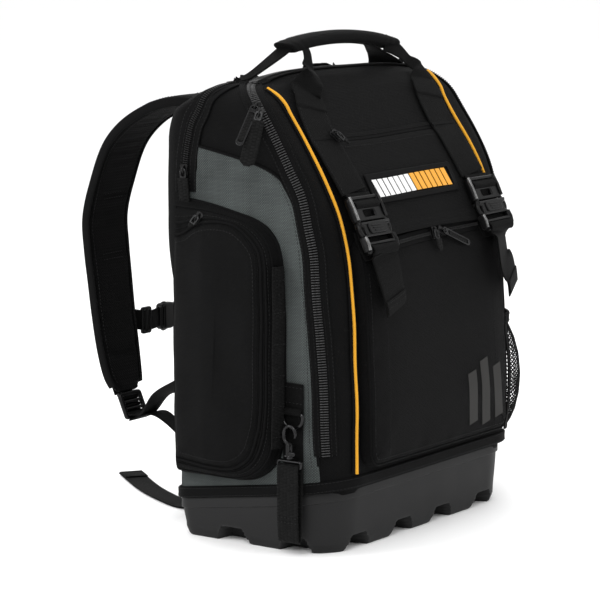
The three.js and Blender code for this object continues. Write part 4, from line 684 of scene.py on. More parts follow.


# Woven: name, slot, weave with its thread sizes; then color, its spread, roughness, relief in metres and sheen.
# Moulded: name and slot; then color, its spread, roughness, grain, relief in metres, lighter edges with their
# color (worn edges, on the left buckle rails a painted highlight), and how much it reflects.
BLACK_CLOTH = woven(
    "black_cloth", "cloth", CLOTH_WEAVE, (0.0014, 0.0),
    (0.0025, 0.0025, 0.0026), 0.6, 0.75, 0.0006, 0.008)
GREY_CLOTH = woven(
    "grey_cloth", "panel_cloth", CLOTH_WEAVE, (0.00135, 0.0),
    (0.055, 0.062, 0.061), 0.8, 0.8, 0.0006, 0.02)
WEBBING = woven(
    "black_webbing", "webbing", WEBBING_WEAVE, (0.0022, 0.0016),
    (0.0018, 0.0018, 0.0018), 0.5, 0.74, 0.0007, 0.01)
RIBBED = woven(
    "ribbed_webbing", "webbing", WEBBING_WEAVE, (0.0036, 0.0042),
    (0.0034, 0.0034, 0.0034), 0.5, 0.6, 0.0009, 0.015)
TAPE = woven(
    "zip_tape", "webbing", WEBBING_WEAVE, (0.0012, 0.0009),
    (0.002, 0.002, 0.0021), 0.25, 0.75, 0.0002, 0.006)
BINDING = woven(
    "seam_binding", "webbing", WEBBING_WEAVE, (0.0015, 0.0011),
    (0.002, 0.002, 0.0021), 0.25, 0.72, 0.0003, 0.008)
PIPING = woven(
    "amber_piping", "cord", WEBBING_WEAVE, (0.0012, 0.0009),
    (0.55, 0.265, 0.02), 0.12, 0.5, 0.0002, 0.05, lint=0.0)
# Black thread, painted several times lighter than the black cloth, so the stitch rows show as the highlights on
# them do.
THREAD_PAINTED_HIGHLIGHT = woven(
    "black_thread_painted_highlight", "webbing", CLOTH_WEAVE, (0.0005, 0.0),
    (0.012, 0.012, 0.0122), 0.2, 0.55, 0.0001, 0.03)
AIR_MESH = woven(
    "air_mesh", "cloth", CLOTH_WEAVE, (0.0024, 1.0),
    (0.0021, 0.0021, 0.0022), 0.45, 0.85, 0.0008, 0.01)
NET = woven(
    "black_net", "net", CLOTH_WEAVE, (0.0006, 0.0),
    (0.0045, 0.0045, 0.0046), 0.3, 0.7, 0.0002, 0.02)
RUBBER = moulded(
    "base_rubber", "rubber",
    (0.0085, 0.0085, 0.0087), 0.22, 0.58, 900, 0.0002, 0.5, (0.04, 0.04, 0.04), 0.16)
NYLON = moulded(
    "black_nylon", "nylon",
    (0.0014, 0.0014, 0.0015), 0.2, 0.3, 1400, 0.00006, 0.3, (0.03, 0.03, 0.03), 0.12)
# Left buckle rails only: a lighter copy of the black nylon. Its lighter colour and bright rim colour are a painted
# highlight where the key light falls; its gloss is real.
POLISHED_PAINTED_HIGHLIGHT = moulded(
    "polished_nylon", "nylon",
    (0.006, 0.006, 0.006), 0.2, 0.14, 1400, 0.00004, 0.6, (0.2, 0.2, 0.2), 0.9)
TEETH = moulded(
    "zip_coil", "nylon",
    (0.0045, 0.0045, 0.0046), 0.2, 0.36, 1600, 0.00005, 0.0, (0.1, 0.1, 0.1), 0.2)
# Main zip's coil: painted three times lighter than the other coil to stand for the bright highlights along its
# edges; its stronger reflection is real.
MAIN_TEETH_PAINTED_HIGHLIGHT = moulded(
    "zip_teeth", "nylon",
    (0.015, 0.015, 0.0152), 0.25, 0.3, 1600, 0.00005, 0.0, (0.1, 0.1, 0.1), 0.45)
STEEL = moulded(
    "dark_steel", "steel",
    (0.01, 0.01, 0.0103), 0.25, 0.26, 1200, 0.00005, 0.35, (0.12, 0.12, 0.123), 0.5, metal=0.85)
PLATE_BLACK = moulded(
    "plate_border", "nylon",
    (0.0014, 0.0014, 0.0015), 0.2, 0.55, 1200, 0.0001, 0.1, (0.01, 0.01, 0.01), 0.05)
PLATE_WHITE = moulded(
    "plate_white", "plate",
    (0.66, 0.66, 0.655), 0.05, 0.5, 1200, 0.00008, 0.2, (0.7, 0.7, 0.7))
PLATE_AMBER = moulded(
    "plate_amber", "plate",
    (0.62, 0.27, 0.012), 0.06, 0.5, 1200, 0.00008, 0.2, (0.8, 0.45, 0.1))
PRINT_GREY = moulded(
    "print_grey", "panel_cloth",
    (0.019, 0.0185, 0.0175), 0.15, 0.6, 900, 0.0002, 0.0, (0.1, 0.1, 0.1), 0.12)


# What repeats: stitches and zip teeth along a path

def along_path_tree(name, is_round):
    """Sets one small shape at even spaces along edges, its X along the path and its Z up."""
    tree = bpy.data.node_groups.new(name, "GeometryNodeTree")
    for label, kind in (("Path", "Geometry"), ("Spacing", "Float"), ("Length", "Float"), ("Width", "Float"),
                        ("Height", "Float"), ("Side", "Float"), ("Unevenness", "Float"), ("Seed", "Int"),
                        ("Finish", "Material")):
        tree.interface.new_socket(name=label, in_out="INPUT", socket_type="NodeSocket" + kind)
    tree.interface.new_socket(name="Row", in_out="OUTPUT", socket_type="NodeSocketGeometry")
    n = Nodes(tree, "GeometryNode")
    given = n.add("NodeGroupInput").outputs
    curve = n.add("MeshToCurve", given["Path"]).outputs[0]
    spots = n.add("ResampleCurve", mode="LENGTH", into={"Curve": curve, "Length": given["Spacing"]}).outputs[0]
    if is_round:
        shape = n.add("MeshUVSphere", 6, 5, 0.5).outputs[0]
    else:
        rod = n.add("MeshCylinder", 6, 1, 1, 0.5, 1.0).outputs[0]
        shape = n.add("Transform", into={"Geometry": rod, "Rotation": (math.pi / 2, 0, 0)}).outputs[0]
    size = n.add("ShaderNodeCombineXYZ", given["Length"], given["Width"], given["Height"]).outputs[0]
    aside = n.add("ShaderNodeCombineXYZ", 0.0, given["Side"], 0.0).outputs[0]
    sized = n.add("Transform", into={"Geometry": shape, "Scale": size, "Translation": aside}).outputs[0]
    up = n.add("InputNamedAttribute", "up", data_type="FLOAT_VECTOR").outputs[0]
    standing = n.add("FunctionNodeAlignRotationToVector", axis="Z", into={"Vector": up}).outputs[0]
    along = n.add("InputTangent").outputs[0]
    facing = n.add("FunctionNodeAlignRotationToVector", axis="X", pivot_axis="Z",
                   into={"Rotation": standing, "Vector": along}).outputs[0]
    uneven = n.add("FunctionNodeRandomValue", data_type="FLOAT", into={"Seed": given["Seed"]})
    n.put(uneven.inputs[2], n.math("SUBTRACT", 1.0, given["Unevenness"]))
    n.put(uneven.inputs[3], n.math("ADD", 1.0, given["Unevenness"]))
    row = n.add("InstanceOnPoints", into={"Points": spots, "Instance": sized, "Rotation": facing,
                                          "Scale": uneven.outputs[1]}).outputs[0]
    real = n.add("RealizeInstances", row).outputs[0]
    finished = n.add("SetMaterial", into={"Geometry": real, "Material": given["Finish"]}).outputs[0]
    n.put(n.add("NodeGroupOutput").inputs[0], finished)
    return tree


STITCH_TREE, TOOTH_TREE = along_path_tree("stitch_row", True), along_path_tree("tooth_row", False)


def set_along(name, tree, rows, finish, spacing, size, side=0.0, uneven=0.0):
    """A mesh of small shapes along rows, each row a path and the side that is up, in millimetres."""
    points = np.concatenate([path for path, _ in rows])
    ups = np.concatenate([np.broadcast_to(up, path.shape) for path, up in rows])
    edges, start = [], 0
    for path, _ in rows:
        edges += [(start + k, start + k + 1) for k in range(len(path) - 1)]
        start += len(path)
    mesh = bpy.data.meshes.new(name + "_path")
    mesh.from_pydata((soften(points) / 1000).tolist(), edges, [])
    held_up = mesh.attributes.new("up", "FLOAT_VECTOR", "POINT").data
    held_up.foreach_set("vector", ups.astype(np.float32).ravel())
    holder = bpy.data.objects.new(name + "_path", mesh)
    scene.collection.objects.link(holder)
    modifier = holder.modifiers.new("row", "NODES")
    modifier.node_group = tree
    labels = ("Spacing", "Length", "Width", "Height", "Side")
    values = {label: length / 1000 for label, length in zip(labels, (spacing, *size, side))}
    values.update({"Unevenness": uneven, "Seed": 3, "Finish": finish})
    for item in tree.interface.items_tree:
        if item.in_out == "INPUT" and item.name in values:
            modifier[item.identifier] = values[item.name]
    done = bpy.data.meshes.new_from_object(holder.evaluated_get(bpy.context.evaluated_depsgraph_get()))
    bpy.data.objects.remove(holder)
    bpy.data.meshes.remove(mesh)
    done.name = name
    done.shade_smooth()
    if not done.materials:
        done.materials.append(finish)
    return enter(name, done, (), "bag")


STITCHES = []


def stitch(path, up):
    STITCHES.append((path, np.broadcast_to(np.asarray(up, float), path.shape)))


# Floor

def floor():
    mesh = bpy.data.meshes.new("floor")
    mesh.from_pydata([(-40, -40, 0), (40, -40, 0), (40, 40, 0), (-40, 40, 0)], [], [(0, 1, 2, 3)])
    paper = bpy.data.materials.new("pale_floor")
    paper.use_nodes = True
    shader = paper.node_tree.nodes["Principled BSDF"]
    shader.inputs["Base Color"].default_value = (0.95, 0.95, 0.95, 1)
    shader.inputs["Roughness"].default_value = 0.7
    mesh.materials.append(paper)
    sheet = bpy.data.objects.new("floor", mesh)
    scene.collection.objects.link(sheet)


floor()


# Rubber base

BASE_TAPER, FOOT_IN, FOOT_HIGH = 5, 4, 10
NOTCH_HIGH, NOTCH_WIDE, NOTCH_DEEP = 15, 30, 20
LEDGE_DROP, LEDGE = 11, 2.2


def notch_places():
    """Distances round the base of the middles of the gaps between its feet."""
    half, front, back, fc, bc = section(0.0)
    to_side = half - fc + fc * math.pi / 2
    to_back = to_side + back - bc - front - fc + bc * math.pi / 2
    places = []
    for share in (0.21, 0.67):
        x = share * WIDTH / 2
        places += [x, -x, to_back + half - bc - x, x - half + bc - to_back]
    for share in (-0.26, 0.14):
        along = to_side + share * DEPTH - (front + fc)
        places += [along, -along]
    return places


def base_tub():
    total = half_girth(0.0)
    around = np.linspace(-total, total, 481)[:-1]
    y = round_body(0 * around, around)[:, 1]
    rim = rim_height(y)
    feet = [0, 0.7, 1.8, 3.5, 5.5, 7.5, 9.5, 11, 12.2, 13.2, 14, 14.8, 15.6, 16.6, 18.5]
    rows = [np.full_like(around, z) for z in feet]
    rows += [feet[-1] + (rim - LEDGE_DROP - 1.6 - feet[-1]) * t for t in (0.2, 0.45, 0.7, 0.9, 0.97, 1.0)]
    rows += [rim - drop for drop in (11.6, 11.0, 10.4, 9.6, 6.0, 3.0, 0.7, 0.15)]
    z = np.stack(rows)
    chamfer = FOOT_IN * np.clip(1 - z / FOOT_HIGH, 0, 1) ** 1.25 + 1.4 * np.clip(1 - z / 1.8, 0, 1) ** 2
    wall = BASE_TAPER + (LEDGE - BASE_TAPER) * ease((z - FOOT_HIGH) / (rim - LEDGE_DROP - FOOT_HIGH))
    above = ease((z - (rim - LEDGE_DROP - 0.6)) / 1.4)
    inset = chamfer + wall * (1 - above) + 0.5 * above * ease((z - rim + 1.5) / 1.5)
    for place in notch_places():
        wide = (NOTCH_WIDE + 10) / 2 - z * (8 / NOTCH_HIGH)
        off = np.abs((around - place + total) % (2 * total) - total)
        inset = inset + NOTCH_DEEP * ease((wide - off) / 3 + 0.5) * ease((NOTCH_HIGH - z) / 3 + 0.5)
    rings = round_body(0 * z, np.broadcast_to(around, z.shape), -inset)
    rings[..., 2] = z
    inside = []
    for high, deep in ((rim - 0.15, 3.2), (rim - 0.9, 4.0), (rim - 12, 4.2), (19.5, 30)):
        ring = round_body(0 * around, around, -deep)
        ring[:, 2] = high
        inside.append(ring)
    rings = np.concatenate([rings, np.stack(inside)])
    uv = np.stack(np.broadcast_arrays(around[None], rings[..., 2]), -1)
    make("rubber_base", loft(rings, uv), RUBBER, "base_tub", soft=False)


TRIM_LEVEL = 53.5


def base_trim():
    total = half_girth(TRIM_LEVEL)
    around = np.linspace(-total, total, 361)[:-1]
    level = np.full_like(around, TRIM_LEVEL)

    def trim_ring(lift, up):
        ring = round_body(level, around, lift)
        ring[:, 2] = rim_height(ring[:, 1]) + GAP + up
        return ring

    edge = [(0, 0), (1.4, 0.3), (2.3, 1.4), (2.5, 3.5), (2.3, 6), (2.5, 8.5), (2.3, 10.6), (1.4, 11.7), (0, 12),
            (-1.2, 12), (-1.2, 0)]
    rings = np.stack([trim_ring(1.2 + lift, up) for lift, up in edge], axis=1)
    up_run = np.array([0, 1.5, 3, 5, 7, 9, 11, 12.5, 14, 16, 4])
    uv = np.stack(np.broadcast_arrays(up_run[None] - 6, around[:, None]), -1)
    make("base_binding", loft(rings, uv, hoop=True), BINDING, "base_trim", soft=False)
    for up in (1.9, 10.3):
        ring = trim_ring(3.7, up)
        out = ring - round_body(level, around, 2.7)
        out[:, 2] = 0
        stitch(ring, unit(out))


base_tub()
base_trim()


# Body

def body_shell():
    share = np.linspace(-1, 1, 401)[:-1]
    # closer together towards the top, where the body rounds over
    heights = np.concatenate([np.linspace(5, 400, 80), np.linspace(403, 455, 19), np.linspace(457, HEIGHT, 15)])
    trim_y = round_body(np.full_like(share, TRIM_LEVEL), share * half_girth(TRIM_LEVEL))[:, 1]
    foot = rim_height(trim_y) - 6
    rings = []
    for z in heights:
        level = foot + (z - 5) * (HEIGHT - foot) / (HEIGHT - 5)
        rings.append(round_body(level, share * half_girth(level), -4.6 * (1 - ease((level - foot - 4) / 6))))
    last = rings[-1]
    middle = at_xyz(last[:, 0], (last[:, 1].min() + last[:, 1].max()) / 2, last[:, 2])
    rings = np.stack(rings + [last + (middle - last) * t for t in (0.3, 0.6, 0.85, 0.97)])
    uv = np.stack(np.broadcast_arrays(share[None] * 500, rings[..., 2]), -1)
    make("body_cloth", loft(rings, uv), BLACK_CLOTH, "body_shell")


body_shell()


# Grey side panels

PANEL_EDGE = np.array([
    (0.16, -0.412), (0.386, -0.39), (0.53, -0.37), (0.64, -0.345), (0.7, -0.322), (0.742, -0.295), (0.77, -0.264),
    (0.79, -0.232), (0.81, -0.195), (0.826, -0.13), (0.84, -0.035), (0.858, 0.16), (0.871, 0.335),
])
PANEL_TOP, PANEL_BACK = PANEL_EDGE[-1, 0] * HEIGHT, PANEL_EDGE[-1, 1] * DEPTH


def panel_at(side, across, rise, lift):
    """A place on the grey panel by its shares across and up."""
    shape = np.clip(rise, 0, 1) ** 0.75
    top, lowest = PANEL_TOP - 0.5, PANEL_EDGE[0, 0] * HEIGHT
    high = lowest + (top - lowest) * shape
    edge = DEPTH * smooth_value(PANEL_EDGE[:, 0], PANEL_EDGE[:, 1], high / HEIGHT)
    back = PANEL_BACK + 23 * (1 - ease((rise - 0.8) / 0.12))
    y = edge + (back - edge) * across
    low = rim_height(y) + 12 + 2 * GAP
    z = low + (top - low) * shape
    return at_xyz(side * (side_x(y, z) + 2 * GAP + lift), y, z)


def side_panel(side, name):
    wide, high = 150, 350
    cloth = laid(lambda u, v, lift: panel_at(side, u / wide, v / high, lift), (wide, high), 1.2, step=3)
    make(f"grey_panel_{name}", cloth, GREY_CLOTH, f"side_panel_{name}")
    t = np.linspace(0, 1, 160)
    make(f"grey_panel_seam_{name}", cordlike(panel_at(side, 0, t, 0.9)[3:], 1.3, 8), BINDING)
    stitch(panel_at(side, 0.035, 0.02 + 0.96 * t, 1.3), (side, 0, 0))


for side, name in SIDES:
    side_panel(side, name)


# Front flap, front pocket and what lies on them

FLAP_TOP, FLAP_BOTTOM, FLAP_WIDTH, FLAP_THICK = 417, 323.5, 262, 3.5
POCKET_WIDTH, POCKET_BOTTOM, POCKET_TOP, POCKET_DEPTH, POCKET_BULGE = 266, 89, FLAP_BOTTOM - 2, 15, 4
POCKET_ZIP_FACING, CROSS_ZIP_FACING = (0, -0.94, 0.35), (0, -0.8, 0.6)


def flap_open(z):
    return 13 * np.clip((FLAP_TOP - z) / (FLAP_TOP - FLAP_BOTTOM), 0, 1) ** 1.5


def flap_at(x, z, lift):
    return at_xyz(x, front_y(x, z) - GAP - flap_open(z) - lift, z)


def pocket_sink(z, height):
    return np.minimum(height, height + (8 - height) * np.clip((z - FLAP_BOTTOM + 22) / 20, 0, 1))


def pocket_at(x, z, height):
    return at_xyz(x, front_y(x, z) - 1.5 * GAP - pocket_sink(z, height), z)


def pocket_face(x, z):
    inset = np.minimum(np.minimum(POCKET_WIDTH / 2 - np.abs(x), z - POCKET_BOTTOM), POCKET_TOP - z)
    bulge = POCKET_BULGE * np.clip(inset / 60, 0, 1) ** 0.7
    return front_y(x, z) - GAP - pocket_sink(z, POCKET_DEPTH + bulge)


def pocket_zip_level(x):
    return FLAP_BOTTOM - 7.5 + 0.025 * x


def four_corners(left, right, low, high, radius):
    return [(left, low, radius), (right, low, radius), (right, high, radius), (left, high, radius)]


ARC_STEPS, EDGE_STEPS = 8, 24


def soft_outline(corners, inset):
    """Outline with round corners (u, v, round), pulled in by an inset, always of one count."""
    spots = np.array([c[:2] for c in corners], float)
    along = unit(np.roll(spots, -1, axis=0) - spots)
    inward = np.stack([-along[:, 1], along[:, 0]], -1)
    start = spots + inward * inset
    arcs = []
    for i, corner in enumerate(corners):
        a, b = (i - 1) % len(corners), i
        gap = start[b] - start[a]
        cross = along[a][0] * along[b][1] - along[a][1] * along[b][0]
        tip = start[a] + along[a] * (gap[0] * along[b][1] - gap[1] * along[b][0]) / cross
        bend = math.acos(max(-1, min(1, float(along[a] @ along[b]))))
        radius = max(corner[2] - inset, min(corner[2], 2.5))
        centre = tip - along[a] * radius * math.tan(bend / 2) + inward[a] * radius
        turn = np.linspace(0, bend, ARC_STEPS + 1)[:, None]
        arcs.append(centre + radius * (-inward[a] * np.cos(turn) + along[a] * np.sin(turn)))
    points = []
    for i, bow in enumerate(arcs):
        following = arcs[(i + 1) % len(arcs)][0]
        t = np.linspace(0, 1, EDGE_STEPS + 1)[1:-1, None]
        points += [bow, bow[-1] + (following - bow[-1]) * t]
    return np.concatenate(points)


def puckers(count, fine, coarse):
    """Small uneven waves once round a ring."""
    turn = np.arange(count) / count * 2 * math.pi
    return np.sin(turn * fine) * 0.6 + np.sin(turn * coarse + 1.3) * 0.7


def bag_pocket(corners, profile, at, pucker=0.5):
    """Soft pocket: rings from its foot to its crowned face, drawn in a little at its seam."""
    insets, heights = np.array(profile, float).T
    run = run_length(np.stack([insets, heights], -1))
    rings = []
    for t in np.linspace(0, run[-1], 34):
        inset, height = float(np.interp(t, run, insets)), float(np.interp(t, run, heights))
        line = soft_outline(corners, inset)
        draw = pucker * puckers(len(line), 47, 29) * bell(inset - 9, 8) * min(height / 8, 1)
        rings.append(at(line[:, 0], line[:, 1], height + draw))
    return loft(np.stack(rings))


def front_flap():
    half, high, face = FLAP_WIDTH / 2, FLAP_TOP - FLAP_BOTTOM, FLAP_THICK + 0.1

    def over(rise):
        return lambda u, v, lift: flap_at(u - half, FLAP_BOTTOM + v, rise + lift)

    make("front_flap_cloth", laid(over(0), (FLAP_WIDTH, high), FLAP_THICK, step=4), BLACK_CLOTH, "front_flap")
    x = np.linspace(-half + 4, half - 4, 80)
    z = np.linspace(FLAP_BOTTOM + 4, FLAP_TOP - 3, 40)
    for row in ((x, FLAP_BOTTOM + 4), (x, FLAP_BOTTOM + 9), (4 - half, z), (half - 4, z), (x, FLAP_TOP - 5)):
        stitch(flap_at(*row, face), FRONTWARDS)
    make("flap_hem", laid(over(FLAP_THICK - 0.5), (FLAP_WIDTH, 12), 0.9, step=4), BLACK_CLOTH)


def front_pocket():
    half = POCKET_WIDTH / 2
    corners = four_corners(-half, half, POCKET_BOTTOM, POCKET_TOP, 14)
    # inset from the outline and height off the body
    profile = [(0, 0), (0.2, 5), (0.6, 9), (1.6, 11.6), (3.4, 13.4), (6, 14.4), (12, 15.6), (24, 17.4), (42, 18.6),
               (60, 19), (90, 19.2), (108, 19.2)]
    make("front_pocket_cloth", bag_pocket(corners, profile, pocket_at), BLACK_CLOTH, "front_pocket")
    seam = pocket_at(*soft_outline(corners, 1.2).T, 12.3)
    make("front_pocket_seam", cordlike(looped(seam), 1.1, 6), BINDING)
    row = pocket_at(*soft_outline(corners, 7).T, 15.0)
    stitch(row[row[:, 2] < 292], FRONTWARDS)
    z = np.linspace(POCKET_BOTTOM + 10, 288, 90)
    for x in (30 - half, half - 30):
        stitch(at_xyz(x, pocket_face(x, z) - 0.5, z), FRONTWARDS)


def front_pocket_zip():
    x = np.linspace(-0.35, 0.35, 60) * POCKET_WIDTH
    z = pocket_zip_level(x)
    path = at_xyz(x, pocket_face(x, z) - 1.4, z)
    up, pitch, tooth = np.array(POCKET_ZIP_FACING), 1.9, 1.9
    make("front_pocket_zip_tape", ribbon(path, up, 13, 1.2, cols=8), TAPE, "front_pocket_zip")
    across = unit(np.cross(direction(path), up))
    lifted = path + unit(np.cross(across, direction(path))) * 1.7
    for label, row, side in (("teeth", lifted, 1), ("teeth_far", evenly(lifted, step=pitch / 2)[1:], -1)):
        set_along(f"front_pocket_zip_{label}", TOOTH_TREE, [(row, up)], TEETH, pitch, (1.15, tooth, 1.5),
                  side=side * (tooth / 2 + 0.05))


def cross_zip():
    x = np.linspace(-0.43, 0.43, 60) * FLAP_WIDTH
    z = FLAP_TOP + 2.2
    path = at_xyz(x, front_y(x, z) - GAP, z)
    make("cross_zip_tape", ribbon(path, CROSS_ZIP_FACING, 6, 1.0, cols=6), TAPE, "upper_zip")
    welt = path + np.array([0, 0.6, 0.8]) * 3.0 + np.array(CROSS_ZIP_FACING) * 0.4
    make("cross_zip_fold", ribbon(welt, CROSS_ZIP_FACING, 5, 1.1, cols=5), BLACK_CLOTH)


def patch():
    """Raised plate with a border and a row of slanted bars."""
    wide, high, middle_x, middle_z = 160, 29, -6, 370

    def on_flap(x, y, z):
        return flap_at(x + middle_x, y + middle_z, FLAP_THICK + GAP + z)

    back = plate([rounded(wide, high, 3)], 1.3, 0.5)
    border = plate([rounded(wide, high, 3), rounded(wide - 14, high - 10, 2)[::-1]], 2.6, 0.8)
    make("plate_border", [bent(back, on_flap), bent(border, on_flap)], PLATE_BLACK, "patch")
    count, spacing, bar_half, bar_high, lean = 14, 10.0, 3.9, 17.5, 4.0
    bars = []
    for k in range(count):
        y = np.array([-1, -1, 1, 1]) * bar_high / 2
        x = spacing * (k + 0.5 - count / 2) + np.array([-1, 1, 1, -1]) * bar_half - y / bar_high * lean
        bars.append(bent(shifted(plate([np.stack([x, y], -1)], 1.2, 0.35), z=1.0), on_flap))
    make("plate_bars_white", bars[:count // 2], PLATE_WHITE)
    make("plate_bars_amber", bars[count // 2:], PLATE_AMBER)


def pocket_print():
    """Three slanted grey bars printed low on the pocket."""
    bars = []
    for start, low, high in ((50, 106, 164), (76, 102, 174), (102, 106, 164)):
        u, v = np.meshgrid(np.linspace(0, 16, 8), np.linspace(low, high, 20), indexing="ij")
        x = start + u - (v - low) * 0.12
        face, under = (at_xyz(x, pocket_face(x, v) + out, v + (u - 6) * 0.18) for out in (-0.75, 0.3))
        bars.append(slab(face, under, np.stack([u, v], -1)))
    make("pocket_print", bars, PRINT_GREY)


front_flap()
front_pocket()
front_pocket_zip()
cross_zip()
patch()
pocket_print()


# Webbing down the front, buckles and their tails

WEB, WEB_THICK, WEB_FOLD = 46, 1.8, 419.5
BUCKLE_X, BUCKLE_TOP, BUCKLE_LONG = 113, 364, 58
# for each side: heights and the webbing's x there
LEAN = {-1: ([350, 378, 412, 442, 462, 478], [-114, -119, -121, -116, -108, -100]),
        1: ([350, 378, 402, 427, 456, 478], [112, 107, 104, 104, 110, 119])}
# for each side: the places where it rises into the grip, then heights and its width there
WEBBING_RISE = {-1: ([(-91, -14, 484), (-84, -3, 491), (-80, 0, 499), (-78, 3, 507), (-78, 8, 513)],
                     [452, 463, 475, 487, 499, 513], [46, 39, 31, 23, 13, 12]),
                1: ([(115, -10, 480), (108, -2, 487.5), (97, 1, 497), (86, 4, 504), (77, 8, 509)],
                    [456, 466, 478, 487, 497, 505], [46, 38, 22, 14, 16, 20])}


def webbing_lift(z):
    on_flap = flap_open(z) + FLAP_THICK + 2 * GAP + 0.4
    return on_flap + (2.4 - on_flap) * ease((z - FLAP_TOP + 4) / 8)


def level_x(slope):
    """Body slopes turned square to x."""
    return unit(slope * [0, 1, 1])


def front_webbing(side, name):
    z = np.linspace(BUCKLE_TOP + 2, HEIGHT - 12, 60)
    x = smooth_value(*LEAN[side], z)
    path = at_xyz(x, front_y(x, z), z)
    up = level_x(body_slope(path))
    path = path + up * webbing_lift(z)[:, None]
    # past the top's front edge the same webbing narrows and stands up into the grip
    risen, levels, widths = WEBBING_RISE[side]
    low = path[z < 466]
    rise = curve_through(np.concatenate([low[::8], low[-1:], np.array(risen, float)]), count=120)
    clear = drape(rise, 4.5)
    outwards = unit(body_slope(clear))
    near_edge = (rise[:, 2] > 450) & (rise[:, 2] < 488)
    rise = rise + outwards * (np.maximum(0, ((clear - rise) * outwards).sum(-1)) * near_edge)[:, None]
    height = np.maximum.accumulate(rise[:, 2] + np.arange(len(rise)) * 1e-4)
    turn = ease((height - 470) / 20)[:, None]
    ups = unit(level_x(body_slope(rise)) * (1 - turn) + unit(np.array([0, -1, 0.25])) * turn)
    cloth = ribbon(rise, ups, np.interp(height, levels, widths), WEB_THICK, cols=9)
    make(f"front_webbing_cloth_{name}", cloth, WEBBING, (f"front_webbing_{name}", f"handle_front_{name}"))
    seam_x = np.linspace(-WEB / 2, WEB / 2, 8) + float(smooth_value(*LEAN[side], WEB_FOLD))
    front = unit(np.array([0, -0.86, 0.5]))
    seam = at_xyz(seam_x, front_y(seam_x, WEB_FOLD), WEB_FOLD) + front * (webbing_lift(WEB_FOLD) + 1.6)
    make(f"webbing_fold_{name}", ribbon(seam, front, 3.2, 1.1, cols=5), BINDING)
    for off in (3 - WEB / 2, WEB / 2 - 3):
        stitch(path + ALONG_X * off + up * (WEB_THICK + 0.1), up)
    # a cross of stitches over the sewn-down length
    sewn = (z > 432) & (z < 462)
    box, box_up = path[sewn], up[sewn][0]
    t = np.linspace(0, 1, 20)[:, None]
    for start in (-18, 18):
        row = box[0] + (box[-1] - box[0]) * t + ALONG_X * (start - 2 * start * t) + box_up * (WEB_THICK + 0.3)
        stitch(drape(row, float(webbing_lift(447.0)) + WEB_THICK + 0.2), box_up)


def buckle_axes(side):
    """The top of a buckle, its direction downwards and the way that it faces."""
    x = side * BUCKLE_X
    top = flap_at(x, BUCKLE_TOP, FLAP_THICK + 1.4)
    low = BUCKLE_TOP - 0.88 * BUCKLE_LONG
    down = unit(np.array([x, pocket_face(x, low) - 10.6, low]) - top)
    out = unit(np.cross(ALONG_X, down))
    return top, down, -out if out[1] > 0 else out


def mirrored(spots, side):
    """Points with their x towards one side."""
    return np.array(spots, float) * [side, 1, 1]


def threaded(route, count, axes, middle):
    """A path for webbing through a buckle, from places along the buckle and off it."""
    return curve_through([(0, along, off) for along, off in route], count=count) @ axes + middle


